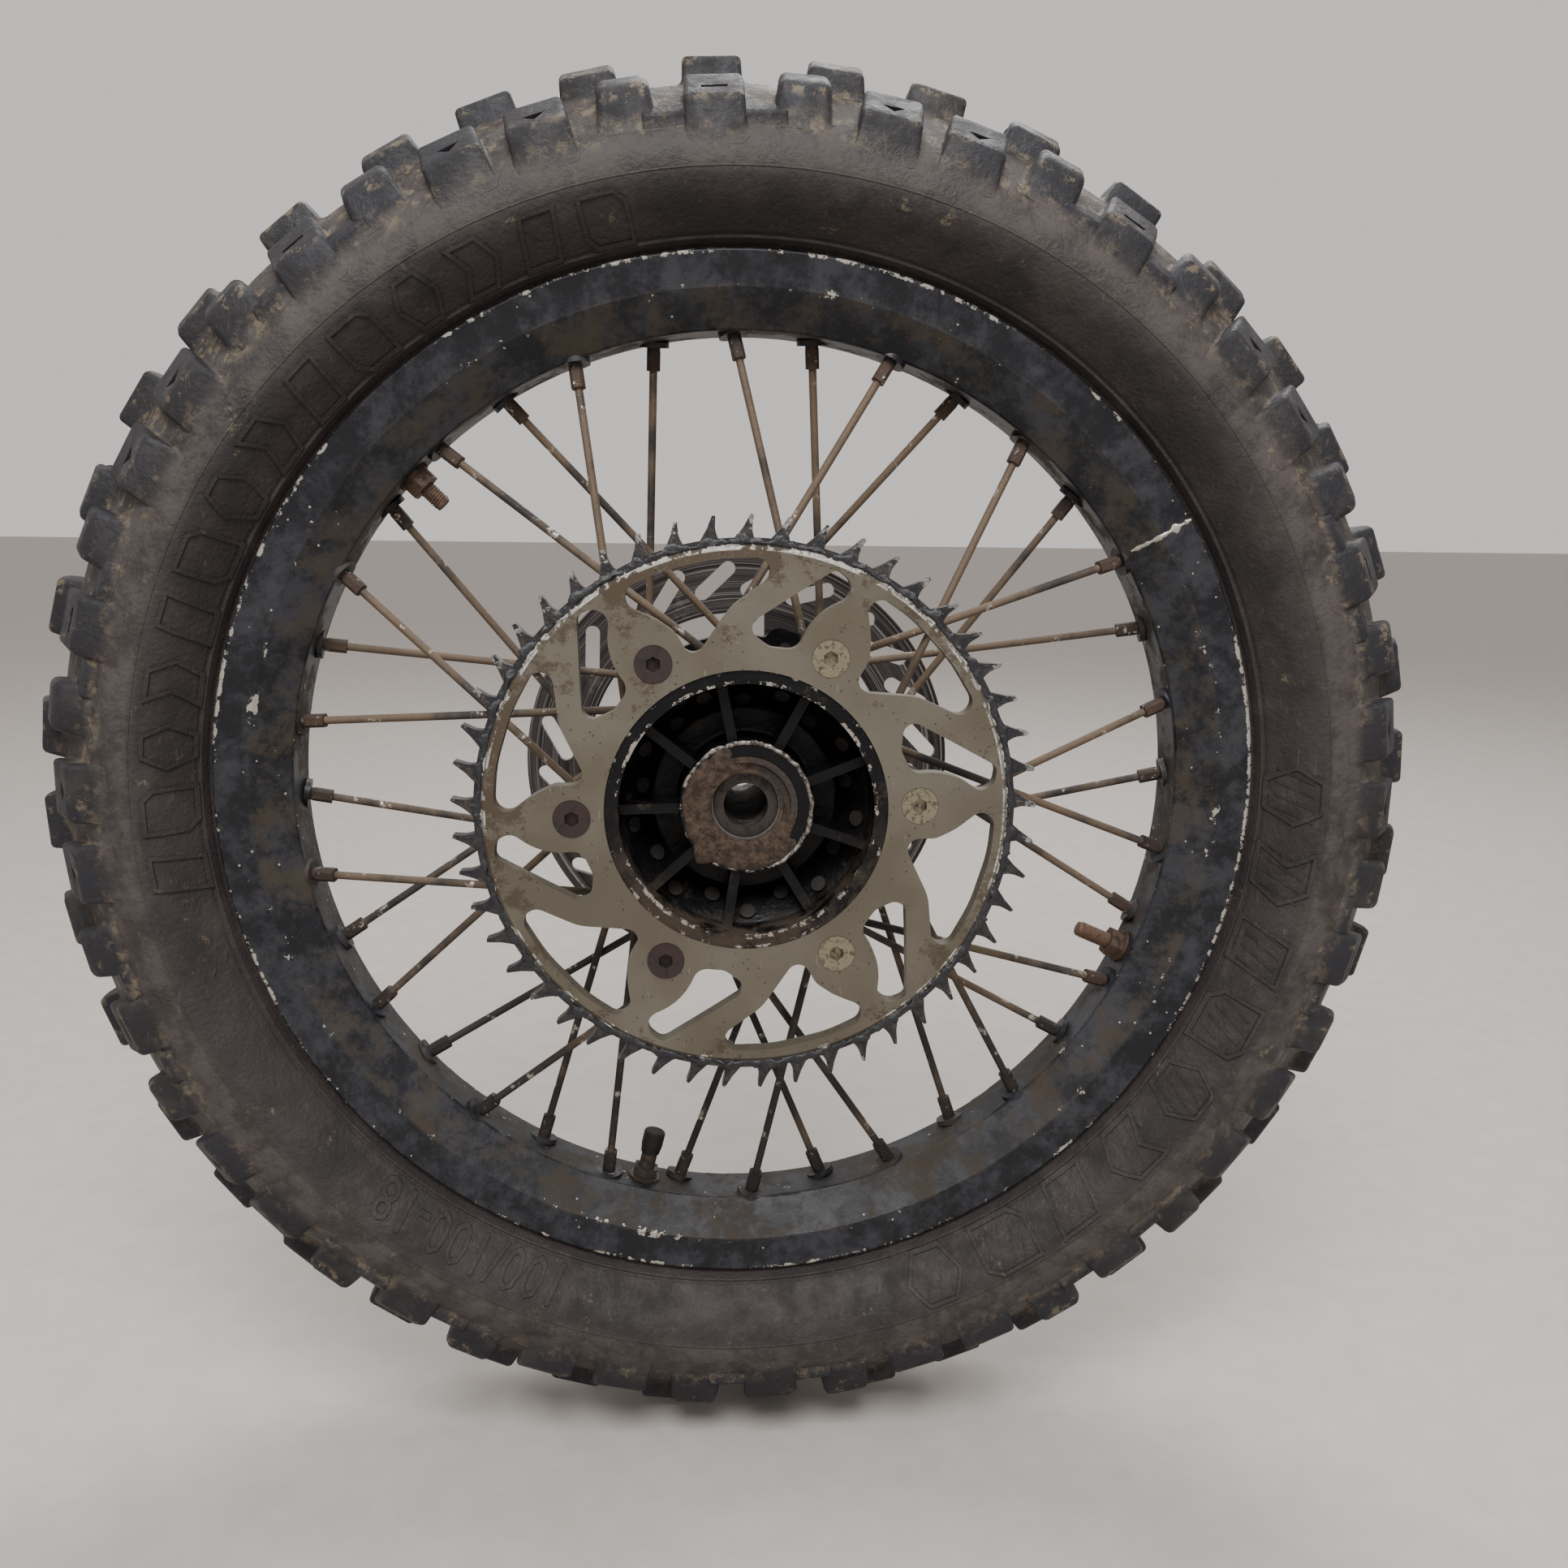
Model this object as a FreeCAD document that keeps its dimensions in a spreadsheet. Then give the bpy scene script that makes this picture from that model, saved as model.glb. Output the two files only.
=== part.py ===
import FreeCAD, Part
import math
import os
import Sketcher

from FreeCAD import Placement, Rotation, Vector

# Rear spoked wheel of an off-road motorcycle, with its tyre, sprocket and brake disc.
# Millimetres. The wheel turns about the Y axis and the origin is at its centre.
# The drive side, which carries the sprocket, faces -Y, and the brake side faces +Y.
# Angles round the wheel are clockwise from the top, as seen from the drive side.

DIMENSIONS = (
    # rim
    ("rim_seat_diameter", 457.2, "bead seat, an 18 inch rim"),
    ("rim_bead_width", 47.0, "between the flanges, a 1.85 inch rim"),
    ("rim_flange_height", 13.9, "bead seat to flange edge"),
    ("rim_flange_wall", 2.6, "flange wall at its edge"),
    ("rim_shoulder_drop", 2.0, "outer shoulder below the bead seat"),
    ("rim_shoulder_wall", 0.6, "outer shoulder beyond the bead width"),
    ("rim_seat_width", 5.0, "width of each bead seat"),
    ("rim_seat_fall", 0.4, "fall of the seat towards the well"),
    ("rim_well_depth", 15.6, "bead seat to well floor"),
    ("rim_well_width", 21.0, "flat of the well floor"),
    ("rim_well_wall", 3.4, "wall of the well floor"),
    ("rim_well_flank", 2.5, "outer flat beyond the well floor, each side"),
    ("rim_corner", 2.0, "rounding of the well corners"),
    ("rim_edge_round", 1.2, "rounding of the flange edge"),
    # tyre
    ("tyre_bead_gap", 0.4, "bead to flange and seat"),
    ("tyre_bead_width", 10.4, "width of each bead"),
    ("tyre_bead_height", 15.0, "bead heel to where the tyre clears the flange"),
    ("tyre_band_height", 19.4, "seat to the band beside the flange"),
    ("tyre_band_half_width", 31.0, "half width at that band"),
    ("tyre_flank_height", 44.5, "seat to the widest part"),
    ("tyre_flank_half_width", 59.0, "half width where the side walls would meet"),
    ("tyre_shoulder_height", 64.5, "seat to the shoulder"),
    ("tyre_shoulder_half_width", 39.0, "half width of the shoulder"),
    ("tyre_crown_height", 100.0, "seat to where the two crown slopes would meet"),
    ("tyre_crown_radius", 40.0, "rounding of the crown"),
    ("tyre_flank_radius", 22.0, "rounding of the side wall"),
    ("tyre_shoulder_radius", 10.0, "rounding of the shoulder"),
    ("tyre_wall", 8.4, "rubber thickness"),
    ("tyre_band_round", 4.0, "rounding beside the flange"),
    ("tyre_heel_round", 2.5, "rounding of the bead heel"),
    ("tyre_toe_round", 1.5, "rounding of the bead toe"),
    # tread
    ("tread_repeats", 10.0, "repeats of the tread round the tyre"),
    ("tread_phase", -2.8, "angle of the first repeat"),
    ("knob_step", 7.2, "angle from one shoulder knob to the next"),
    ("knob_base_length", 27.0, "knob length round the tyre at its foot"),
    ("knob_top_length", 25.4, "knob length round the tyre at its top"),
    ("shoulder_inner_half_width", 26.5, "inner edge of the shoulder knobs"),
    ("shoulder_inner_top", 84.0, "seat to their inner top edge"),
    ("shoulder_outer_half_width", 46.0, "outer top edge of the long knobs"),
    ("shoulder_outer_top", 70.0, "seat to that edge"),
    ("shoulder_foot_half_width", 50.0, "foot of the long knobs on the side wall"),
    ("shoulder_foot_height", 45.5, "seat to that foot"),
    ("inset_outer_half_width", 41.0, "outer top edge of the inset knobs"),
    ("inset_outer_top", 77.5, "seat to that edge"),
    ("inset_foot_half_width", 45.0, "foot of the inset knobs"),
    ("inset_foot_height", 58.0, "seat to that foot"),
    ("knob_root_height", 72.0, "seat to the inner foot of the shoulder knobs"),
    ("centre_knob_top", 99.0, "seat to the top of the centre knobs"),
    ("centre_knob_edge", 95.0, "seat to the side edges of that top"),
    ("centre_knob_root", 78.0, "seat to the foot of the centre knobs"),
    ("centre_knob_half_width", 12.5, "half width of a single centre knob"),
    ("pair_knob_inner", 3.5, "inner edge of a paired centre knob"),
    ("pair_knob_outer", 21.5, "outer edge of a paired centre knob"),
    ("pair_knob_top", 98.0, "seat to the top of a paired centre knob"),
    ("pair_knob_fall", 8.0, "its outer edge below its inner edge"),
    # tube and rim band
    ("tube_wall", 2.5, "wall of the tube"),
    ("tube_rounding", 14.0, "rounding of the tube's outside"),
    ("tube_bore_rounding", 12.0, "rounding of the tube's inside"),
    ("tube_foot_height", 3.9, "seat to the tube's narrow foot"),
    ("tube_foot_half_width", 8.0, "half width of the foot"),
    ("tube_throat_height", 18.4, "seat to the throat between the beads"),
    ("tube_throat_half_width", 11.0, "half width of the throat"),
    ("tube_low_height", 35.4, "seat to the lower side"),
    ("tube_low_half_width", 33.0, "half width of the lower side"),
    ("tube_side_height", 54.0, "seat to the upper side"),
    ("tube_side_half_width", 34.0, "half width of the upper side"),
    ("tube_top_height", 71.5, "seat to the top"),
    ("tube_top_half_width", 12.0, "half width of the top"),
    ("band_lift", 3.0, "rim band above the well floor"),
    ("band_thickness", 1.2, "thickness of the rim band"),
    ("band_width", 19.0, "width of the rim band"),
    # spokes and nipples
    ("spokes_per_group", 9.0, "spokes in each of the four groups"),
    ("lacing_phase", -1.5, "angle of the first nipple"),
    ("lacing_sweep", 40.0, "angle from a nipple to its hub hole"),
    ("spoke_diameter", 3.7, "nine gauge wire"),
    ("spoke_head_diameter", 7.2, "head inside the hub"),
    ("spoke_head_height", 2.0, "height of that head"),
    ("spoke_bend", 6.0, "radius of the elbow"),
    ("outer_row_radius", 59.5, "elbows of the outer row, from the axle"),
    ("outer_row_offset", 35.0, "elbows of the outer row, from the middle"),
    ("inner_row_radius", 55.0, "elbows of the inner row, from the axle"),
    ("inner_row_offset", 30.0, "elbows of the inner row, from the middle"),
    ("nipple_offset", 6.0, "nipples from the middle of the rim"),
    ("nipple_stagger", 1.5, "inner row nearer, outer row further"),
    ("nipple_length", 12.0, "length seen below the rim"),
    ("nipple_diameter", 7.0, "across the corners of the flats"),
    ("nipple_flats", 6.2, "across the flats"),
    ("nipple_collar", 3.0, "round part next to the rim"),
    ("nipple_head_diameter", 9.2, "head in the well"),
    ("nipple_head_height", 2.4, "height of that head"),
    ("nipple_seat", 2.0, "head's seat outside the well's inner face"),
    ("nipple_clearance", 0.1, "nipple to its hole in the rim"),
    ("nipple_head_gap", 0.4, "nipple head to its recess in the well, on the radius"),
    ("dimple_diameter", 14.0, "raised seat round each nipple"),
    ("dimple_height", 1.5, "height of that seat"),
    # hub
    ("elbow_to_wall", 4.5, "elbow to the hub's wall"),
    ("cone_wall", 6.0, "wall that the spokes pass through"),
    ("spoke_hole_clearance", 0.15, "spoke to its hole in the hub"),
    ("head_sink", 0.6, "spoke heads let into the wall"),
    ("hub_lip_diameter", 124.8, "lip that centres the sprocket"),
    ("hub_lip_setback", 1.0, "lip behind the sprocket's face"),
    ("bowl_diameter", 113.0, "inside of the bowl"),
    ("hub_flange_diameter", 136.0, "flange behind the sprocket"),
    ("hub_flange_thickness", 8.0, "its thickness, and the lugs'"),
    ("hub_wall_diameter", 124.0, "outside of the wall behind the flange"),
    ("bowl_floor_offset", 31.5, "floor of the bowl, from the middle"),
    ("floor_thickness", 6.5, "thickness of that floor"),
    ("boss_diameter", 60.0, "boss round each bearing"),
    ("boss_setback", 10.0, "boss behind the sprocket's face"),
    ("barrel_diameter", 56.0, "barrel at the middle"),
    ("barrel_waist_radius", 40.0, "hollow of the barrel's waist"),
    ("barrel_end_diameter", 63.0, "barrel where it meets the bowls"),
    ("barrel_bore", 38.0, "bore between the bearings"),
    ("rib_count", 9.0, "ribs in each bowl"),
    ("rib_phase", 28.4, "angle of the first rib"),
    ("rib_thickness", 4.5, "thickness of a rib"),
    ("rib_setback", 13.5, "rib edge behind the sprocket's face"),
    ("hub_fillet", 2.5, "rounding inside the bowl"),
    ("sprocket_lug_width", 19.0, "lug round each sprocket bolt"),
    ("disc_lug_width", 17.0, "lug round each disc bolt"),
    ("lug_root_width", 30.0, "lug where it leaves the flange"),
    # sprocket
    ("sprocket_face_offset", 66.0, "face from the middle of the rim"),
    ("sprocket_thickness", 8.0, "plate"),
    ("sprocket_tooth_thickness", 5.9, "teeth for a 5/8 by 1/4 inch chain"),
    ("sprocket_step", 1.2, "teeth behind the plate's face"),
    ("sprocket_bore", 125.0, "bore"),
    ("sprocket_plate_diameter", 231.0, "plate, inside the teeth"),
    ("sprocket_root_diameter", 237.6, "bottom of the tooth gaps"),
    ("sprocket_tip_diameter", 257.6, "over the worn teeth"),
    ("sprocket_teeth", 49.0, "teeth"),
    ("tooth_phase", -0.9, "angle of the first tooth's foot"),
    ("tooth_foot_width", 8.8, "tooth at the bottom of the gaps"),
    ("tooth_tip_width", 1.3, "worn tip"),
    ("tooth_lean", 3.6, "tip ahead of the foot's middle"),
    ("tooth_hollow", 1.1, "hollow worn into each flank"),
    ("tooth_flank_radius", 9.0, "radius of that hollow"),
    ("sprocket_bolt_circle", 153.0, "bolt circle"),
    ("sprocket_bolt_phase", 27.9, "angle of the first bolt"),
    ("sprocket_bolt_count", 6.0, "bolts"),
    ("window_outer_radius", 110.0, "outer edge of the windows"),
    ("window_inner_radius", 73.5, "inner edge of the windows"),
    # sprocket fasteners
    ("bolt_diameter", 8.0, "M8"),
    ("bolt_clearance", 0.25, "bolt to its hole, on the radius"),
    ("bolt_head_diameter", 16.2, "countersunk head"),
    ("bolt_head_gap", 0.2, "head to its countersink, on the radius"),
    ("plated_bolt_stand_out", 0.15, "plated heads in front of the sprocket's face"),
    ("dark_bolt_stand_out", 0.5, "dark heads in front of the sprocket's face"),
    ("bolt_length", 27.0, "from the sprocket's face"),
    ("bolt_socket", 6.0, "across the flats of the socket"),
    ("bolt_socket_depth", 3.2, "depth of the socket"),
    ("nut_flats", 13.0, "across the flats"),
    ("nut_height", 7.0, "height"),
    ("washer_diameter", 17.0, "washer"),
    ("washer_thickness", 1.5, "washer"),
    # brake disc
    ("disc_seat_offset", 64.0, "hub's disc seat from the middle"),
    ("disc_thickness", 4.0, "disc"),
    ("disc_diameter", 222.0, "disc"),
    ("disc_ring_bore", 158.0, "inside of the rubbed ring"),
    ("disc_bolt_circle", 132.0, "bolt circle"),
    ("disc_bolt_count", 6.0, "bolts"),
    ("disc_bolt_phase", 21.0, "angle of the first bolt"),
    ("disc_bolt_diameter", 6.0, "M6"),
    ("disc_bolt_length", 11.5, "under the head"),
    ("disc_bolt_head", 10.5, "head"),
    ("disc_bolt_head_height", 3.2, "head"),
    ("disc_bolt_socket", 4.0, "across the flats of the socket"),
    ("disc_ear_width", 16.0, "ear round each bolt"),
    ("disc_ear_root", 34.0, "ear where it joins the ring"),
    ("disc_slot_count", 24.0, "slots"),
    ("disc_slot_circle", 192.0, "middle of the slots"),
    ("disc_slot_length", 26.0, "slot"),
    ("disc_slot_width", 7.5, "slot"),
    ("disc_slot_turn", 54.0, "slot turned from the radius"),
    ("disc_slot_phase", 7.5, "angle of the first slot"),
    # bearings, seals and the tube between them
    ("bearing_bore", 20.0, "6204 bearing"),
    ("bearing_diameter", 47.0, "6204 bearing"),
    ("bearing_width", 14.0, "6204 bearing"),
    ("inner_ring_diameter", 28.8, "shoulder of the inner ring"),
    ("outer_ring_bore", 38.6, "shoulder of the outer ring"),
    ("ball_diameter", 7.938, "5/16 inch ball"),
    ("ball_circle", 33.5, "ball centres"),
    ("ball_count", 8.0, "balls"),
    ("race_radius", 4.13, "radius of the grooves"),
    ("race_gap", 0.03, "ball to the bottom of each groove"),
    ("cage_thickness", 1.6, "cage"),
    ("cage_width", 9.8, "cage"),
    ("cage_gap", 0.13, "ball to its pocket, on the radius"),
    ("shield_thickness", 0.5, "shield"),
    ("shield_inset", 0.5, "shield inside the bearing's face"),
    ("shield_gap", 0.35, "shield to the inner ring"),
    ("seal_width", 5.5, "oil seal"),
    ("seal_gap", 0.5, "seal to bearing, and to the boss face"),
    ("seal_lip_diameter", 30.0, "seal lip"),
    ("seal_case_bore", 40.0, "inside of the seal's case"),
    ("seal_web", 1.8, "web that carries the lip"),
    ("spacer_length", 71.5, "tube between the bearings"),
    ("spacer_diameter", 25.0, "that tube"),
    # rim locks
    ("lock_count", 2.0, "rim locks"),
    ("lock_phase", 113.5, "angle of the first rim lock"),
    ("lock_spacing", 200.0, "angle to the second"),
    ("lock_stud_diameter", 8.0, "M8"),
    ("lock_hole_clearance", 0.3, "stud to rim, on the radius"),
    ("lock_long_reach", 17.0, "long stud below its nut"),
    ("lock_short_reach", 11.0, "short stud below its nut"),
    ("lock_nut_flats", 13.0, "nut"),
    ("lock_nut_height", 6.5, "nut"),
    ("lock_washer_diameter", 16.4, "washer"),
    ("lock_washer_thickness", 1.6, "washer"),
    ("lock_pad_width", 23.2, "pad between the beads"),
    ("lock_pad_foot_width", 14.0, "pad at the rim band"),
    ("lock_pad_arc", 16.0, "angle that the pad spans"),
    ("lock_pad_lift", 1.2, "pad above the rim band"),
    ("lock_pad_height", 12.4, "pad"),
    ("lock_stud_sink", 2.0, "stud's top inside the pad"),
    # valve
    ("valve_phase", 193.5, "angle of the valve"),
    ("valve_diameter", 8.0, "stem"),
    ("valve_neck_diameter", 7.6, "thread under the cap"),
    ("valve_bore", 3.8, "bore of the stem"),
    ("valve_foot_diameter", 11.0, "foot inside the tube"),
    ("valve_foot_thickness", 1.5, "that foot"),
    ("valve_reach", 7.4, "bare stem between nut and cap"),
    ("valve_nut_flats", 11.5, "nut"),
    ("valve_nut_height", 4.2, "nut"),
    ("valve_washer_diameter", 16.5, "washer"),
    ("valve_washer_thickness", 1.5, "washer"),
    ("core_diameter", 3.5, "valve core"),
    ("core_length", 16.0, "valve core"),
    ("core_sink", 0.8, "core inside the stem's mouth"),
    ("cap_diameter", 10.8, "cap"),
    ("cap_skirt_diameter", 9.4, "cap at its mouth"),
    ("cap_length", 11.6, "cap"),
    ("cap_clearance", 0.1, "cap to the thread, on the radius"),
    ("cap_crown", 2.4, "solid end of the cap"),
    ("cap_straight_length", 7.0, "cap before it narrows to its mouth"),
    ("cap_end_round", 1.0, "rounding of its end"),
    ("cap_side_round", 3.0, "rounding where it narrows"),
    ("cap_gap", 0.4, "cap to the stem's shoulder"),
)


class Size:
    """A number together with the spreadsheet formula that works it out."""

    def __init__(self, value, formula):
        self.value = value
        self.formula = formula

    def joined(self, other, sign, value):
        return Size(value, f"({self.formula} {sign} {other.formula})")

    def __add__(self, other):
        other = as_size(other)
        return self.joined(other, "+", self.value + other.value)

    def __sub__(self, other):
        other = as_size(other)
        return self.joined(other, "-", self.value - other.value)

    def __mul__(self, other):
        other = as_size(other)
        return self.joined(other, "*", self.value * other.value)

    def __truediv__(self, other):
        other = as_size(other)
        return self.joined(other, "/", self.value / other.value)

    def __radd__(self, other):
        return as_size(other) + self

    def __rsub__(self, other):
        return as_size(other) - self

    def __rmul__(self, other):
        return as_size(other) * self

    def __rtruediv__(self, other):
        return as_size(other) / self

    def __neg__(self):
        return as_size(0.0) - self


def as_size(number):
    """A plain number becomes a constant; a Size stays as it is."""
    return number if isinstance(number, Size) else Size(float(number), f"{float(number):.6f}")


def sine(angle):
    """Sine of an angle in degrees."""
    angle = as_size(angle)
    return Size(math.sin(math.radians(angle.value)), f"sin({angle.formula})")


def cosine(angle):
    """Cosine of an angle in degrees."""
    angle = as_size(angle)
    return Size(math.cos(math.radians(angle.value)), f"cos({angle.formula})")


def root(number):
    """Square root."""
    return Size(math.sqrt(number.value), f"sqrt({number.formula})")


class Sizes:
    """The driving dimensions, kept in a spreadsheet, one named cell each."""

    def __init__(self, document):
        self.cells = document.addObject("Spreadsheet::Sheet", "Sizes")
        for row, (alias, number, note) in enumerate(DIMENSIONS, start=1):
            self.cells.set(f"A{row}", alias)
            self.cells.set(f"B{row}", str(number))
            self.cells.setAlias(f"B{row}", alias)
            self.cells.set(f"C{row}", note)
        document.recompute()

    def __getattr__(self, alias):
        return Size(float(self.cells.get(alias)), f"Sizes.{alias}")


document = FreeCAD.newDocument("wheel")
size = Sizes(document)
nodes = {}

WHEEL_AXIS = Vector(0, 1, 0)
DRIVE_SIDE = -1.0
BRAKE_SIDE = 1.0
HALF_RIGHT_ANGLE = math.sqrt(0.5)
FLAT_TO_CORNER = 2.0 / math.sqrt(3.0)
# A small chamfer or overlap, and how far a drill runs past the wall that it goes through.
NUDGE = 1.0
DRILL_OVERRUN = 4.0
# Roundings as shares of the half width that they round.
LUG_ROUNDING = 0.9
EAR_ROUNDING = 0.8
SLOT_ROUNDING = 0.98
# How far a swept spoke's volume may be from its section times its length, as a share.
PIPE_TOLERANCE = 0.01

# lengths that several sub-parts share
seat_radius = size.rim_seat_diameter / 2
flange_radius = seat_radius + size.rim_flange_height
well_radius = seat_radius - size.rim_well_depth
rim_radius = well_radius - size.rim_well_wall
band_radius = well_radius + size.band_lift
band_top = band_radius + size.band_thickness
sprocket_face = -size.sprocket_face_offset
sprocket_seat = sprocket_face + size.sprocket_thickness
bolt_circle_radius = size.sprocket_bolt_circle / 2
disc_circle_radius = size.disc_bolt_circle / 2
bearing_radius = size.bearing_diameter / 2
lug_back = sprocket_seat + size.hub_flange_thickness
inner_face_of = {side: side * size.spacer_length / 2 for side in (DRIVE_SIDE, BRAKE_SIDE)}


# ---------------------------------------------------------------- sketch helpers


def new_body(name):
    """An empty body; a node's body carries the node's name as its label."""
    body = document.addObject("PartDesign::Body", name)
    body.Label = name
    return body


def keep(name, item):
    """Record a finished object as the node of that name."""
    item.Label = name
    nodes[name] = item
    return item


def new_sketch(body, role, offset=None, turn=None):
    """A sketch on one of the body's own planes, set off along and turned about its normal."""
    plane = next(item for item in body.Origin.OriginFeatures if item.Role == role)
    sketch = body.newObject("Sketcher::SketchObject", f"{body.Name}_sketch")
    sketch.AttachmentSupport = [(plane, "")]
    sketch.MapMode = "FlatFace"
    offset = as_size(offset or 0.0)
    turn = as_size(turn or 0.0)
    sketch.AttachmentOffset = Placement(
        Vector(0, 0, offset.value), Rotation(Vector(0, 0, 1), turn.value)
    )
    sketch.setExpression("AttachmentOffset.Base.z", offset.formula)
    if turn.value:
        sketch.setExpression("AttachmentOffset.Rotation.Angle", turn.formula)
    return sketch


def sketch_across(body, offset=0.0, angle=0.0):
    """A sketch square to the wheel's axis: x to the right and y up from the drive side."""
    return new_sketch(body, "XZ_Plane", -as_size(offset), -as_size(angle))


def place(sketch, geometry, point, x, y):
    """Bind one point of the sketch to two sizes."""
    for kind, axis, length in (("DistanceX", -2, x), ("DistanceY", -1, y)):
        if as_size(length).value == 0.0:
            sketch.addConstraint(Sketcher.Constraint("PointOnObject", geometry, point, axis))
            continue
        length = as_size(length)
        index = sketch.addConstraint(
            Sketcher.Constraint(kind, -1, 1, geometry, point, length.value)
        )
        sketch.setExpression(f"Constraints[{index}]", length.formula)


def corner_arc(before, here, after, radius):
    """Entry and exit points of a rounded corner, its arc, and whether it runs anticlockwise."""
    back = (before - here).normalize()
    ahead = (after - here).normalize()
    half = back.getAngle(ahead) / 2
    reach = radius / math.tan(half)
    entry = here + back * reach
    leave = here + ahead * reach
    centre = here + (back + ahead).normalize() * (radius / math.sin(half))
    turns_left = back.cross(ahead).z < 0
    first, last = (entry, leave) if turns_left else (leave, entry)
    start = math.atan2(first.y - centre.y, first.x - centre.x)
    end = math.atan2(last.y - centre.y, last.x - centre.x)
    circle = Part.Circle(centre, Vector(0, 0, 1), radius)
    return entry, leave, Part.ArcOfCircle(circle, start, end), turns_left


def add_outline(sketch, corners):
    """A closed outline of straight sides. A corner is (x, y), or (x, y, radius) if rounded."""
    points = [Vector(as_size(c[0]).value, as_size(c[1]).value, 0) for c in corners]
    count = len(points)
    entries = list(points)
    leaves = list(points)
    arcs = {}
    for index, corner in enumerate(corners):
        if len(corner) == 3:
            radius = as_size(corner[2]).value
            entries[index], leaves[index], arc, turns_left = corner_arc(
                points[index - 1], points[index], points[(index + 1) % count], radius
            )
            arcs[index] = (sketch.addGeometry(arc, False), turns_left)
    sides = [
        sketch.addGeometry(Part.LineSegment(leaves[i], entries[(i + 1) % count]), False)
        for i in range(count)
    ]
    for index, corner in enumerate(corners):
        into, out = sides[index - 1], sides[index]
        if index not in arcs:
            sketch.addConstraint(Sketcher.Constraint("Coincident", into, 2, out, 1))
            place(sketch, out, 1, corner[0], corner[1])
            continue
        arc, turns_left = arcs[index]
        start, end = (1, 2) if turns_left else (2, 1)
        sketch.addConstraint(Sketcher.Constraint("Tangent", into, 2, arc, start))
        sketch.addConstraint(Sketcher.Constraint("Tangent", arc, end, out, 1))
        radius = as_size(corner[2])
        bound = sketch.addConstraint(Sketcher.Constraint("Radius", arc, radius.value))
        sketch.setExpression(f"Constraints[{bound}]", radius.formula)
        mark = sketch.addGeometry(Part.Point(points[index]), True)
        sketch.addConstraint(Sketcher.Constraint("PointOnObject", mark, 1, into))
        sketch.addConstraint(Sketcher.Constraint("PointOnObject", mark, 1, out))
        place(sketch, mark, 1, corner[0], corner[1])


def add_circle(sketch, x, y, radius):
    """A circle with its centre and radius bound to sizes."""
    radius = as_size(radius)
    centre = Vector(as_size(x).value, as_size(y).value, 0)
    circle = sketch.addGeometry(Part.Circle(centre, Vector(0, 0, 1), radius.value), False)
    place(sketch, circle, 3, x, y)
    bound = sketch.addConstraint(Sketcher.Constraint("Radius", circle, radius.value))
    sketch.setExpression(f"Constraints[{bound}]", radius.formula)


def hexagon(x, y, flats):
    """Corners of a hexagon with two flats upright."""
    reach = as_size(flats) * (FLAT_TO_CORNER / 2)
    return [
        (x + reach * sine(60 * step), y + reach * cosine(60 * step)) for step in range(6)
    ]


# ---------------------------------------------------------------- feature helpers


def add_feature(body, kind, sketch):
    """A feature of the body made from one sketch."""
    feature = body.newObject(f"PartDesign::{kind}", f"{body.Name}_{kind.lower()}")
    feature.Profile = sketch
    body.Tip = feature
    return feature


def revolve(body, corners, role="XY_Plane", kind="Revolution"):
    """Turn an outline a full circle about the upright axis of its plane."""
    sketch = new_sketch(body, role)
    add_outline(sketch, corners)
    feature = add_feature(body, kind, sketch)
    feature.ReferenceAxis = (sketch, ["V_Axis"])
    feature.Angle = 360.0
    return feature


def pad(body, sketch, length, symmetric=False, away=False):
    """Thicken a sketch along its normal, towards the drive side unless it goes away."""
    feature = add_feature(body, "Pad", sketch)
    length = as_size(length)
    feature.Length = length.value
    feature.setExpression("Length", length.formula)
    feature.SideType = "Symmetric" if symmetric else "One side"
    feature.Reversed = away
    return feature


def cut_through(body, sketch):
    """Cut a sketch right through the body, both ways, and see that it removed something."""
    document.recompute()
    before = body.Shape.Volume
    feature = add_feature(body, "Pocket", sketch)
    feature.Type = "ThroughAll"
    feature.SideType = "Symmetric"
    document.recompute()
    require_less(body, before)
    return feature


def cut_depth(body, sketch, depth, away=False):
    """Cut a sketch to a depth, against its normal unless it goes away."""
    document.recompute()
    before = body.Shape.Volume
    feature = add_feature(body, "Pocket", sketch)
    depth = as_size(depth)
    feature.Length = depth.value
    feature.setExpression("Length", depth.formula)
    feature.Reversed = away
    document.recompute()
    require_less(body, before)
    return feature


def require_less(body, before):
    """Stop if a cut left the body's volume as it was."""
    if body.Shape.Volume > before - 0.01:
        raise RuntimeError(f"a cut in {body.Label} removed nothing")


def repeat(body, features, count, span=360.0):
    """Repeat features about the wheel's axis, over a full turn or a stated span."""
    axis = next(item for item in body.Origin.OriginFeatures if item.Role == "Y_Axis")
    pattern = body.newObject("PartDesign::PolarPattern", f"{body.Name}_pattern")
    pattern.Originals = features
    pattern.Axis = (axis, [""])
    count = as_size(count)
    span = as_size(span)
    pattern.Occurrences = round(count.value)
    pattern.setExpression("Occurrences", count.formula)
    pattern.Angle = span.value
    pattern.setExpression("Angle", span.formula)
    body.Tip = pattern
    return pattern


def turn_body(body, angle):
    """Turn a whole body about the wheel's axis."""
    body.Placement = Placement(Vector(), Rotation(WHEEL_AXIS, angle.value))
    body.setExpression("Placement.Rotation.Angle", angle.formula)


def by_code(name, shape):
    """An object whose shape is worked out here from the sheet's values."""
    item = document.addObject("Part::Feature", name)
    item.Shape = shape
    item.Placement = Placement()
    return item


def boolean(kind, name, base, tool):
    """A cut or fuse of two objects of the document."""
    item = document.addObject(f"Part::{kind}", name)
    item.Base = base
    item.Tool = tool
    return item


def at(radius, angle, offset):
    """The point at a radius, an angle and an offset along the axle."""
    turn = math.radians(angle)
    return Vector(radius * math.sin(turn), offset, radius * math.cos(turn))


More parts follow.
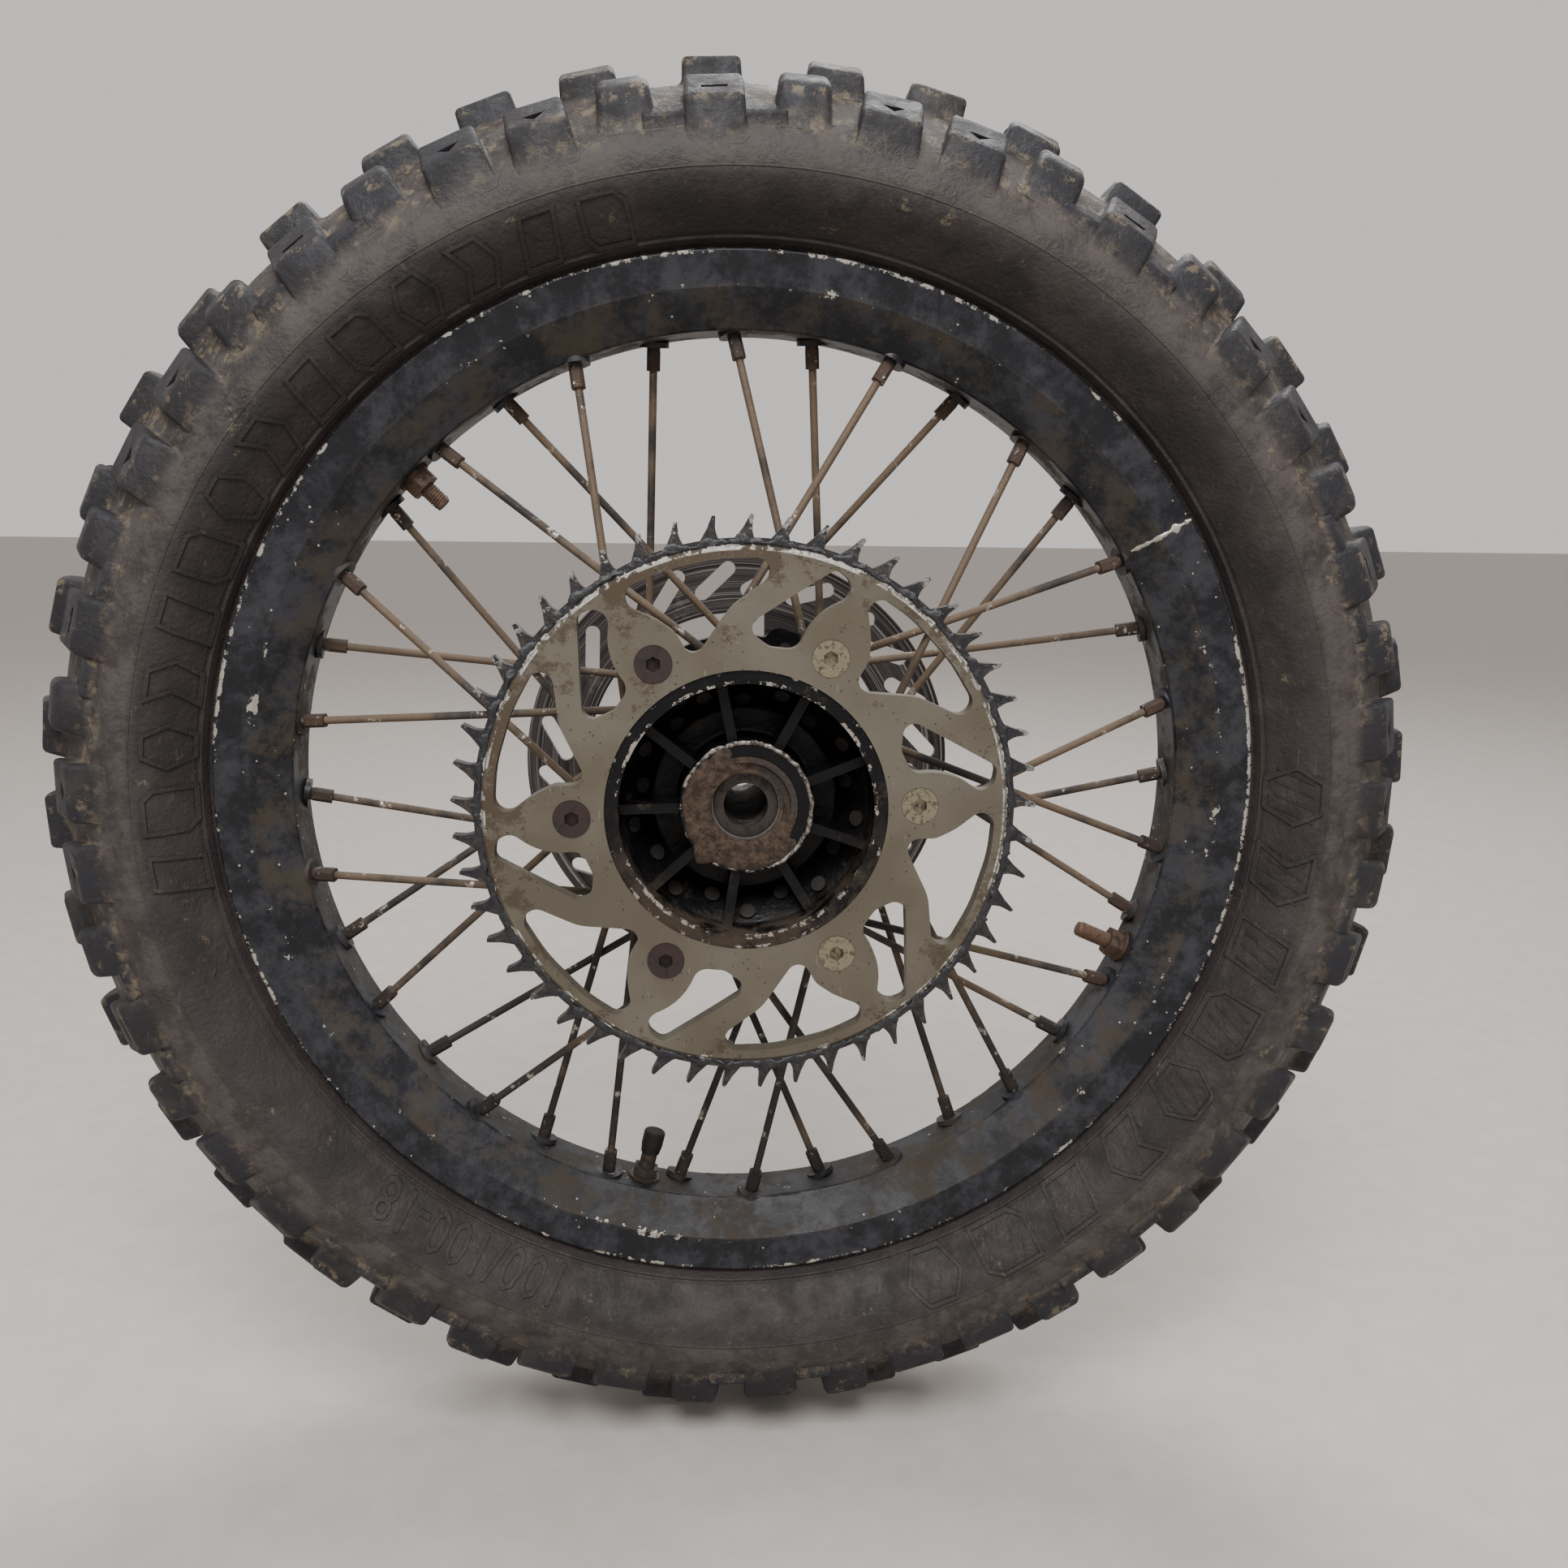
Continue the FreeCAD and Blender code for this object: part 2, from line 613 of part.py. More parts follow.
def turned(shape, angle):
    """A copy of a shape turned about the wheel's axis."""
    return shape.rotated(Vector(), WHEEL_AXIS, angle)


def mirrored_outline(half):
    """Corners for y above zero, followed by their mirror images."""
    return list(half) + [(c[0], -c[1]) + tuple(c[2:]) for c in reversed(half)]


# ---------------------------------------------------------------- tyre, tube and band


def tyre_outline():
    """Section of the tyre without its knobs."""
    wall = size.tyre_wall
    bead_face = size.rim_bead_width / 2 - size.tyre_bead_gap
    bead_toe = bead_face - size.tyre_bead_width
    seat = seat_radius + size.tyre_bead_gap
    crown = (seat_radius + size.tyre_crown_height, 0.0, size.tyre_crown_radius)
    inner_crown = (crown[0] - wall - NUDGE, 0.0, size.tyre_crown_radius)
    outer = [
        (
            seat_radius + size.tyre_shoulder_height,
            size.tyre_shoulder_half_width,
            size.tyre_shoulder_radius,
        ),
        (
            seat_radius + size.tyre_flank_height,
            size.tyre_flank_half_width,
            size.tyre_flank_radius,
        ),
        (seat_radius + size.tyre_band_height, size.tyre_band_half_width, size.tyre_band_round),
        (seat + size.tyre_bead_height, bead_face, size.tyre_toe_round),
        (seat, bead_face, size.tyre_heel_round),
        (seat, bead_toe, size.tyre_toe_round),
        (
            seat_radius + size.tyre_bead_height,
            bead_toe + size.tyre_toe_round,
            size.tyre_band_round,
        ),
        (
            seat_radius + size.tyre_band_height + wall / 2,
            size.tyre_band_half_width - wall / 2,
            size.tyre_band_round,
        ),
        (
            seat_radius + size.tyre_flank_height,
            size.tyre_flank_half_width - wall,
            size.tyre_flank_radius - wall,
        ),
        (
            seat_radius + size.tyre_shoulder_height - wall,
            size.tyre_shoulder_half_width - wall / 2,
            size.tyre_shoulder_radius,
        ),
    ]
    other = [(c[0], -c[1], c[2]) for c in reversed(outer)]
    return [crown] + outer + [inner_crown] + other


def knob(inner_foot, outer_foot, inner_top, outer_top, angle, side):
    """One tread knob, from its foot in the carcass to its top, each corner (height, half width)."""
    quads = []
    for inner, outer, length in (
        (inner_foot, outer_foot, size.knob_base_length),
        (inner_top, outer_top, size.knob_top_length),
    ):
        half = length.value / 2
        corners = [
            Vector(step * half, side * width.value, (seat_radius + height).value)
            for step, (height, width) in ((-1, inner), (1, inner), (1, outer), (-1, outer))
        ]
        quads.append(Part.makePolygon(corners + corners[:1]))
    return turned(Part.makeLoft(quads, True, True), angle)


def long_knob(angle, side):
    """A shoulder knob whose side face runs down the side wall."""
    return knob(
        (size.knob_root_height, size.shoulder_inner_half_width),
        (size.shoulder_foot_height, size.shoulder_foot_half_width),
        (size.shoulder_inner_top, size.shoulder_inner_half_width),
        (size.shoulder_outer_top, size.shoulder_outer_half_width),
        angle,
        side,
    )


def inset_knob(angle, side):
    """A shorter shoulder knob set in from the edge."""
    return knob(
        (size.knob_root_height, size.shoulder_inner_half_width),
        (size.inset_foot_height, size.inset_foot_half_width),
        (size.shoulder_inner_top, size.shoulder_inner_half_width),
        (size.inset_outer_top, size.inset_outer_half_width),
        angle,
        side,
    )


def centre_knob(angle):
    """A single knob across the middle of the tread, its top falling to both sides."""
    half = size.centre_knob_half_width
    long_half = size.knob_top_length.value / 2
    corners = [
        Vector(-long_half, width.value, (seat_radius + height).value)
        for height, width in (
            (size.centre_knob_root, -half),
            (size.centre_knob_root, half),
            (size.centre_knob_edge, half - NUDGE),
            (size.centre_knob_top, as_size(0.0)),
            (size.centre_knob_edge, -half + NUDGE),
        )
    ]
    section = Part.Face(Part.makePolygon(corners + corners[:1]))
    return turned(section.extrude(Vector(2 * long_half, 0, 0)), angle)


def paired_knob(angle, side):
    """One of two knobs side by side at the middle of the tread."""
    fall = size.pair_knob_fall
    return knob(
        (size.centre_knob_root, size.pair_knob_inner),
        (size.centre_knob_root - fall, size.pair_knob_outer),
        (size.pair_knob_top, size.pair_knob_inner + NUDGE),
        (size.pair_knob_top - fall, size.pair_knob_outer - NUDGE),
        angle,
        side,
    )


# Where each kind of knob stands in one repeat of the tread, in steps of the shoulder knobs.
LONG_KNOB_STEPS = (0, 2, 3)
INSET_KNOB_STEPS = (1, 4)
PAIRED_KNOB_STEPS = (1.35, 3.65)
CENTRE_KNOB_STEPS = (0, 2.5)


def tread_knobs():
    """Every knob of the tread: five on each shoulder and four rows at the middle per repeat."""
    knobs = []
    step = size.knob_step.value
    repeats = round(size.tread_repeats.value)
    for turn in range(repeats):
        start = size.tread_phase.value + turn * 360.0 / repeats
        for side in (DRIVE_SIDE, BRAKE_SIDE):
            knobs += [long_knob(start + step * spot, side) for spot in LONG_KNOB_STEPS]
            knobs += [inset_knob(start + step * spot, side) for spot in INSET_KNOB_STEPS]
            knobs += [paired_knob(start + step * spot, side) for spot in PAIRED_KNOB_STEPS]
        knobs += [centre_knob(start + step * spot) for spot in CENTRE_KNOB_STEPS]
    return knobs


def make_tyre():
    """Tyre: a revolved carcass with the tread knobs joined on."""
    carcass = new_body("tyre_carcass")
    revolve(carcass, tyre_outline())
    knobs = by_code("tread_knobs", Part.makeCompound(tread_knobs()))
    keep("tyre", boolean("Fuse", "tyre", carcass, knobs))


# Corners of the tube's half section. Each has the name of its two sizes, the share of the wall
# that the inside's corner moves by in height and in half width, and its share of the rounding.
TUBE_CORNERS = (
    ("foot", 1.0, -0.6, 0.25),
    ("throat", 0.2, -1.0, 0.5),
    ("low", 0.6, -1.0, 1.0),
    ("side", -0.4, -1.0, 1.0),
    ("top", -1.0, -0.3, 1.0),
)


def tube_outline(wall, rounding):
    """Half section of the inner tube, set in from its outside by a wall."""
    return [
        (
            seat_radius + getattr(size, f"tube_{name}_height") + wall * rise,
            getattr(size, f"tube_{name}_half_width") + wall * spread,
            rounding * share,
        )
        for name, rise, spread, share in TUBE_CORNERS
    ]


def make_inner_tube():
    """Inner tube: a hollow ring with a hole for the valve stem."""
    body = new_body("inner_tube")
    sketch = new_sketch(body, "XY_Plane")
    add_outline(sketch, mirrored_outline(tube_outline(as_size(0.0), size.tube_rounding)))
    add_outline(sketch, mirrored_outline(tube_outline(size.tube_wall, size.tube_bore_rounding)))
    ring = add_feature(body, "Revolution", sketch)
    ring.ReferenceAxis = (sketch, ["V_Axis"])
    ring.Angle = 360.0
    hole = new_sketch(body, "XY_Plane")
    add_circle(hole, 0.0, 0.0, size.valve_diameter / 2)
    cut_depth(body, hole, seat_radius + size.tube_low_height, away=True)
    turn_body(body, size.valve_phase)
    keep("inner_tube", body)


def make_rim_band():
    """Rim band: a rubber strip over the nipple heads, holed for the valve and the rim locks."""
    body = new_body("rim_band")
    half = size.band_width / 2
    revolve(body, mirrored_outline([(band_radius, half), (band_top, half)]))
    for angle in (size.valve_phase, size.lock_phase, size.lock_phase + size.lock_spacing):
        hole = new_sketch(body, "XY_Plane")
        hole.AttachmentOffset = Placement(Vector(), Rotation(WHEEL_AXIS, angle.value))
        add_circle(hole, 0.0, 0.0, size.lock_stud_diameter / 2 + NUDGE)
        cut_depth(body, hole, band_top + NUDGE, away=True)
    keep("rim_band", body)


# ---------------------------------------------------------------- rim, spokes and nipples


class Lacing:
    """One group of spokes: every fourth nipple, all leaning the same way."""

    def __init__(self, side, leans_forward, first_angle):
        self.side = side
        row = "inner" if leans_forward else "outer"
        self.hub_radius = getattr(size, f"{row}_row_radius").value
        self.hub_offset = side * getattr(size, f"{row}_row_offset").value
        stagger = -size.nipple_stagger.value if leans_forward else size.nipple_stagger.value
        self.rim_offset = side * (size.nipple_offset.value + stagger)
        self.angle = size.lacing_phase.value + first_angle
        sweep = size.lacing_sweep.value
        self.hub_angle = self.angle + (sweep if leans_forward else -sweep)

    def elbow(self):
        """Where the spoke bends, just outside the hub."""
        return at(self.hub_radius, self.hub_angle, self.hub_offset)

    def seat(self):
        """Where the spoke's line meets the inner face of the rim."""
        return at(rim_radius.value, self.angle, self.rim_offset)

    def direction(self):
        """Along the spoke, from the hub to the rim."""
        return (self.seat() - self.elbow()).normalize()

    def inward(self):
        """From the elbow through the hub's wall, to the head."""
        radial = at(1.0, self.hub_angle, 0.0)
        return (WHEEL_AXIS * self.side - radial) * HALF_RIGHT_ANGLE

    def copies(self, shape):
        """The shape repeated for each spoke of the group."""
        count = round(size.spokes_per_group.value)
        return [turned(shape, 360.0 * step / count) for step in range(count)]


nipple_pitch = 90.0 / size.spokes_per_group.value
drive_forward = Lacing(DRIVE_SIDE, True, 0.0)
brake_forward = Lacing(BRAKE_SIDE, True, nipple_pitch)
drive_backward = Lacing(DRIVE_SIDE, False, 2 * nipple_pitch)
brake_backward = Lacing(BRAKE_SIDE, False, 3 * nipple_pitch)
LACINGS = (drive_forward, drive_backward, brake_forward, brake_backward)


def rod(start, direction, first, last, radius):
    """A round bar along a direction, between two distances from a start point."""
    return Part.makeCylinder(radius, last - first, start + direction * first, direction)


def spoke_head_reach():
    """Elbow to the underside of the head."""
    return (size.elbow_to_wall + size.cone_wall - size.head_sink).value


def spoke(lacing):
    """One spoke: a head, a short leg through the hub's wall, an elbow and a long leg."""
    elbow = lacing.elbow()
    inward = lacing.inward()
    outward = lacing.direction()
    half = inward.getAngle(outward) / 2
    bend = size.spoke_bend.value
    reach = bend / math.tan(half)
    middle_way = (inward + outward).normalize()
    belly = elbow + middle_way * (bend / math.sin(half) - bend)
    start = elbow + inward * spoke_head_reach()
    end = lacing.seat() + outward * NUDGE
    bend_start = elbow + inward * reach
    bend_end = elbow + outward * reach
    path = Part.Wire(
        [
            Part.LineSegment(start, bend_start).toShape(),
            Part.Arc(bend_start, belly, bend_end).toShape(),
            Part.LineSegment(bend_end, end).toShape(),
        ]
    )
    radius = size.spoke_diameter.value / 2
    section = Part.Wire([Part.Circle(start, inward, radius).toShape()])
    wire = path.makePipeShell([section], True, True)
    volume = path.Length * math.pi * radius**2
    if abs(wire.Volume - volume) > PIPE_TOLERANCE * volume:
        raise RuntimeError("a spoke's volume differs from its section times its length")
    head_start = spoke_head_reach()
    head_end = head_start + size.spoke_head_height.value
    head = rod(elbow, inward, head_start, head_end, size.spoke_head_diameter.value / 2)
    return wire.fuse(head)


def make_spokes():
    """Spokes: four groups, one per side and lean."""
    for name, lacing in (
        ("spokes_drive_side_forward", drive_forward),
        ("spokes_drive_side_backward", drive_backward),
        ("spokes_brake_side_forward", brake_forward),
        ("spokes_brake_side_backward", brake_backward),
    ):
        keep(name, by_code(name, Part.makeCompound(lacing.copies(spoke(lacing)))))


def nipple(lacing):
    """One nipple: flats at its free end, a round collar, and a head in the well."""
    seat = lacing.seat()
    along = lacing.direction()
    free_end = -size.nipple_length.value
    collar_end = -size.nipple_collar.value
    head_seat = size.nipple_seat.value
    head_end = head_seat + size.nipple_head_height.value
    flats = size.nipple_flats.value
    barrel = rod(seat, along, free_end, collar_end, size.nipple_diameter.value / 2)
    block = Part.makeBox(flats, flats, collar_end - free_end, Vector(-flats / 2, -flats / 2, 0))
    block.Placement = Placement(seat + along * free_end, Rotation(Vector(0, 0, 1), along))
    collar = rod(seat, along, collar_end, head_seat, flats / 2)
    head = rod(seat, along, head_seat, head_end, size.nipple_head_diameter.value / 2)
    bore = rod(seat, along, free_end, NUDGE, size.spoke_diameter.value / 2)
    return barrel.common(block).fuse([collar, head]).cut(bore)


def make_nipples():
    """Nipples: one node per side."""
    for name, pair in (
        ("nipples_drive_side", (drive_forward, drive_backward)),
        ("nipples_brake_side", (brake_forward, brake_backward)),
    ):
        solids = [copy for lacing in pair for copy in lacing.copies(nipple(lacing))]
        keep(name, by_code(name, Part.makeCompound(solids)))


def rim_outline():
    """Section of the rim: two flanges, two bead seats and a well."""
    half_bead = size.rim_bead_width / 2
    half_well = size.rim_well_width / 2
    edge = half_bead + size.rim_flange_wall
    round_ = size.rim_edge_round
    return mirrored_outline(
        [
            (rim_radius, half_well + size.rim_well_flank, size.rim_corner),
            (seat_radius - size.rim_shoulder_drop, half_bead + size.rim_shoulder_wall, round_ / 2),
            (flange_radius, edge, round_),
            (flange_radius, half_bead, round_),
            (seat_radius, half_bead, round_),
            (seat_radius - size.rim_seat_fall, half_bead - size.rim_seat_width, size.rim_corner),
            (well_radius, half_well, size.rim_corner),
        ]
    )


def radial_hole(radius, angle):
    """A round drill along the wheel's radius, through the rim only."""
    direction = at(1.0, angle.value, 0.0)
    first = rim_radius.value - DRILL_OVERRUN
    last = well_radius.value + DRILL_OVERRUN
    return rod(Vector(), direction, first, last, radius.value)


def make_rim():
    """Rim: a revolved section with a raised seat and a hole at every nipple, valve and lock."""
    blank = new_body("rim_section")
    revolve(blank, rim_outline())
    seats = []
    drills = []
    for lacing in LACINGS:
        here = lacing.seat()
        along = lacing.direction()
        raised = -size.dimple_height.value
        seats += lacing.copies(rod(here, along, raised, NUDGE, size.dimple_diameter.value / 2))
        hole = size.nipple_flats.value / 2 + size.nipple_clearance.value
        face = size.nipple_head_diameter.value / 2 + size.nipple_head_gap.value
        through = rod(here, along, 2 * raised, size.rim_well_wall.value, hole)
        spot = rod(here, along, size.nipple_seat.value, 2 * size.rim_well_wall.value, face)
        drills += lacing.copies(through.fuse(spot))
    lock_hole = size.lock_stud_diameter / 2 + size.lock_hole_clearance
    valve_hole = size.valve_diameter / 2 + size.lock_hole_clearance
    drills.append(radial_hole(valve_hole, size.valve_phase))
    drills.append(radial_hole(lock_hole, size.lock_phase))
    drills.append(radial_hole(lock_hole, size.lock_phase + size.lock_spacing))
    raised_seats = by_code("rim_raised_seats", Part.makeCompound(seats))
    seated = boolean("Fuse", "rim_with_seats", blank, raised_seats)
    holes = by_code("rim_drills", Part.makeCompound(drills))
    keep("rim", boolean("Cut", "rim", seated, holes))


# ---------------------------------------------------------------- hub


def cone_line(reach, radius):
    """Offset at which the hub's sloping wall has a given radius, a reach inside the elbows."""
    step = as_size(reach) * HALF_RIGHT_ANGLE
    slope = (size.outer_row_offset - size.inner_row_offset) / (
        size.outer_row_radius - size.inner_row_radius
    )
    outer = (size.outer_row_radius - step, size.outer_row_offset + step)
    return outer[1] + (as_size(radius) - outer[0]) * slope


def cone_radius(reach, offset):
    """Radius at which the hub's sloping wall has a given offset."""
    step = as_size(reach) * HALF_RIGHT_ANGLE
    slope = (size.outer_row_radius - size.inner_row_radius) / (
        size.outer_row_offset - size.inner_row_offset
    )
    outer = (size.outer_row_radius - step, size.outer_row_offset + step)
    return outer[0] + (as_size(offset) - outer[1]) * slope


def hub_half(side, seat, lip, boss_face):
    """Corners of one end of the hub, from the bearing bore round to the barrel."""
    inner_reach = size.elbow_to_wall + size.cone_wall
    outer_reach = size.elbow_to_wall
    bowl = size.bowl_diameter / 2
    wall = size.hub_wall_diameter / 2
    boss = size.boss_diameter / 2
    floor = size.bowl_floor_offset
    back = floor - size.floor_thickness
    round_ = size.hub_fillet
    corners = [
        (bearing_radius, boss_face),
        (boss, boss_face, round_ / 2),
        (boss, floor, round_),
        (cone_radius(inner_reach, floor), floor, round_),
        (bowl, cone_line(inner_reach, bowl), round_),
        (bowl, lip),
    ]
    if side == DRIVE_SIDE:
        corners += [(size.hub_lip_diameter / 2, lip), (size.hub_lip_diameter / 2, seat)]
    flange = size.hub_flange_diameter / 2
    rear = seat - size.hub_flange_thickness
    corners += [
        (flange, seat),
        (flange, rear),
        (wall, rear, round_),
        (wall, cone_line(outer_reach, wall), round_),
        (cone_radius(outer_reach, back), back, round_),
        (size.barrel_end_diameter / 2, back, 2 * round_),
    ]
    return [(c[0], side * c[1]) + tuple(c[2:]) for c in corners]


def hub_outline():
    """Section of the hub: two bowls joined by a barrel, with a bore for each bearing."""
    drive = hub_half(
        DRIVE_SIDE,
        -sprocket_seat,
        size.sprocket_face_offset - size.hub_lip_setback,
        size.sprocket_face_offset - size.boss_setback,
    )
    housing = size.bearing_width + size.seal_width + size.seal_gap * 2
    brake_boss = inner_face_of[BRAKE_SIDE] + housing
    brake = hub_half(BRAKE_SIDE, size.disc_seat_offset, size.disc_seat_offset, brake_boss)
    bore = size.barrel_bore / 2
    inside = [
        (bearing_radius, inner_face_of[BRAKE_SIDE]),
        (bore, inner_face_of[BRAKE_SIDE]),
        (bore, inner_face_of[DRIVE_SIDE]),
        (bearing_radius, inner_face_of[DRIVE_SIDE]),
    ]
    waist = [(size.barrel_diameter / 2, 0.0, size.barrel_waist_radius)]
    return drive + waist + list(reversed(brake)) + inside


def add_lugs(body, circle_radius, width, seat, angle, count):
    """Lugs of the flange's thickness round a bolt circle."""
    sketch = sketch_across(body, seat, angle)
    round_ = width / 2
    inner = size.bowl_diameter / 2 + NUDGE
    outer = circle_radius + round_
    half_root = size.lug_root_width / 2
    add_outline(
        sketch,
        [
            (-half_root, inner),
            (half_root, inner),
            (round_ + NUDGE / 2, outer, round_ * LUG_ROUNDING),
            (-round_ - NUDGE / 2, outer, round_ * LUG_ROUNDING),
        ],
    )
    lug = pad(body, sketch, size.hub_flange_thickness, away=seat.value < 0)
    repeat(body, [lug], count)


def add_hub_ribs(body, side, top):
    """Ribs from the boss to the wall of one bowl."""
    half_way = size.elbow_to_wall + size.cone_wall / 2
    root_ = size.bowl_floor_offset - size.floor_thickness / 2
    wall_in = size.bowl_diameter / 2 + 2 * NUDGE
    boss_in = size.boss_diameter / 2 - 2 * NUDGE
    sketch = new_sketch(body, "YZ_Plane")
    add_outline(
        sketch,
        [
            (side * root_, boss_in),
            (side * root_, cone_radius(half_way, root_)),
            (side * cone_line(half_way, wall_in), wall_in),
            (side * top, wall_in),
            (side * top, boss_in),
        ],
    )
    rib = pad(body, sketch, size.rib_thickness, symmetric=True)
    repeat(body, [rib], size.rib_count)


def hub_drills():
    """A hole through the sloping wall for every spoke, with a flat for its head."""
    drills = []
    radius = size.spoke_diameter.value / 2 + size.spoke_hole_clearance.value
    face = size.spoke_head_diameter.value / 2 + 2 * size.spoke_hole_clearance.value
    for lacing in LACINGS:
        elbow = lacing.elbow()
        inward = lacing.inward()
        through = rod(elbow, inward, NUDGE, spoke_head_reach() + NUDGE, radius)
        flat_end = spoke_head_reach() + 2 * size.spoke_head_height.value
        flat = rod(elbow, inward, spoke_head_reach(), flat_end, face)
        drills += lacing.copies(through.fuse(flat))
    return Part.makeCompound(drills)


def make_hub():
    """Hub: a revolved casting with lugs, ribs, bolt holes and spoke holes."""
    ribs = new_body("hub_ribs")
    add_hub_ribs(ribs, DRIVE_SIDE, size.sprocket_face_offset - size.rib_setback)
    add_hub_ribs(ribs, BRAKE_SIDE, size.disc_seat_offset - size.rib_setback)
    turn_body(ribs, size.rib_phase)
    casting = new_body("hub_casting")
    revolve(casting, hub_outline())
    add_lugs(
        casting,
        bolt_circle_radius,
        size.sprocket_lug_width,
        sprocket_seat,
        size.sprocket_bolt_phase,
        size.sprocket_bolt_count,
    )
    add_lugs(
        casting,
        disc_circle_radius,
        size.disc_lug_width,
        size.disc_seat_offset,
        size.disc_bolt_phase,
        size.disc_bolt_count,
    )
    holes = sketch_across(casting, sprocket_seat, size.sprocket_bolt_phase)
    add_circle(holes, 0.0, bolt_circle_radius, size.bolt_diameter / 2 + size.bolt_clearance)
    drive_hole = cut_depth(casting, holes, size.hub_flange_thickness + NUDGE)
    repeat(casting, [drive_hole], size.sprocket_bolt_count)
    threads = sketch_across(casting, size.disc_seat_offset, size.disc_bolt_phase)
    add_circle(threads, 0.0, disc_circle_radius, size.disc_bolt_diameter / 2)
    brake_hole = cut_depth(casting, threads, size.hub_flange_thickness + NUDGE, away=True)
    repeat(casting, [brake_hole], size.disc_bolt_count)
    ribbed = boolean("Fuse", "hub_ribbed", casting, ribs)
    drills = by_code("hub_drills", hub_drills())
    keep("hub_shell", boolean("Cut", "hub_shell", ribbed, drills))


# ---------------------------------------------------------------- sprocket


def add_tooth(body, face):
    """One worn tooth, leaning forward, hollow on both flanks."""
    sketch = sketch_across(body, face, size.tooth_phase)
    foot = size.sprocket_root_diameter / 2 - NUDGE
    tip = size.sprocket_tip_diameter / 2
    half_foot = size.tooth_foot_width / 2
    half_tip = size.tooth_tip_width / 2
    lean = size.tooth_lean
    middle = (foot + tip) / 2
    behind = (lean - half_tip - half_foot) / 2 + size.tooth_hollow / 2
    ahead = (lean + half_tip + half_foot) / 2 - size.tooth_hollow
    add_outline(
        sketch,
        [
            (-half_foot, foot),
            (behind, middle, size.tooth_flank_radius),
            (lean - half_tip, tip),
            (lean + half_tip, tip - half_tip),
            (ahead, middle - NUDGE, size.tooth_flank_radius),
            (half_foot, foot),
        ],
    )
    tooth = pad(body, sketch, size.sprocket_tooth_thickness, away=True)
    repeat(body, [tooth], size.sprocket_teeth)


# Corners of the windows: the share of the way from their inner to their outer radius, the angle
# past a bolt, and the rounding.
LARGE_WINDOW = (
    (-0.107, 12.0, 5.2),
    (0.312, 10.2, 9.0),
    (0.534, 6.9, 30.0),
    (1.027, -1.2, 5.7),
    (1.019, 12.5, 60.0),
    (1.019, 25.4, 60.0),
    (1.082, 43.2, 5.7),
    (0.452, 27.4, 22.0),
)
SMALL_WINDOW = (
    (-0.016, 39.6, 7.0),
    (0.2, 30.5, 5.1),
    (0.551, 41.7, 30.0),
    (1.066, 51.6, 4.2),
    (0.956, 59.6, 6.4),
    (0.501, 50.3, 29.1),
    (0.025, 48.8, 6.3),
)


def add_windows(body, face):
    """A large and a small swept window, repeated between the bolts."""
    inner = size.window_inner_radius
    span = size.window_outer_radius - inner
    for window in (LARGE_WINDOW, SMALL_WINDOW):
        sketch = sketch_across(body, face, size.sprocket_bolt_phase)
        corners = []
        for share, angle, rounding in window:
            radius = inner + span * share
            corners.append((radius * sine(angle), radius * cosine(angle), rounding))
        add_outline(sketch, corners)
        repeat(body, [cut_through(body, sketch)], size.sprocket_bolt_count)


def make_sprocket():
    """Sprocket: a plate, a thinner toothed ring, windows and countersunk bolt holes."""
    body = new_body("sprocket_plate")
    tooth_front = sprocket_face + size.sprocket_step
    tooth_back = tooth_front + size.sprocket_tooth_thickness
    bore = size.sprocket_bore / 2
    plate = size.sprocket_plate_diameter / 2
    root_ = size.sprocket_root_diameter / 2
    bevel = size.sprocket_step
    revolve(
        body,
        [
            (bore, sprocket_face),
            (plate - bevel, sprocket_face),
            (plate, tooth_front),
            (root_, tooth_front),
            (root_, tooth_back),
            (plate, tooth_back),
            (plate, sprocket_seat),
            (bore, sprocket_seat),
        ],
    )
    add_tooth(body, tooth_front)
    add_windows(body, sprocket_face)
    holes = sketch_across(body, sprocket_face, size.sprocket_bolt_phase)
    add_circle(holes, 0.0, bolt_circle_radius, size.bolt_diameter / 2 + size.bolt_clearance)
    repeat(body, [cut_through(body, holes)], size.sprocket_bolt_count)
    sinks = by_code("sprocket_countersinks", countersinks())
    keep("sprocket", boolean("Cut", "sprocket", body, sinks))


def countersinks():
    """Cones that seat the sprocket bolts' heads."""
    wide = size.bolt_head_diameter.value / 2 + size.bolt_head_gap.value
    narrow = size.bolt_diameter.value / 2 + size.bolt_clearance.value
    count = round(size.sprocket_bolt_count.value)
    base = at(bolt_circle_radius.value, size.sprocket_bolt_phase.value, sprocket_face.value)
    cone = Part.makeCone(wide, narrow, wide - narrow, base, WHEEL_AXIS)
    return Part.makeCompound([turned(cone, 360.0 * step / count) for step in range(count)])


def bolt_corners(circle, stand_out):
    """Half section of a countersunk bolt, on a bolt circle, standing out by a little."""
    face = sprocket_face - stand_out
    shank = size.bolt_diameter / 2
    head = size.bolt_head_diameter / 2
    return [
        (circle, face),
        (circle + head, face),
        (circle + head, sprocket_face),
        (circle + shank, sprocket_face + head - shank),
        (circle + shank, sprocket_face + size.bolt_length - NUDGE),
        (circle + shank - NUDGE, sprocket_face + size.bolt_length),
        (circle, sprocket_face + size.bolt_length),
    ]


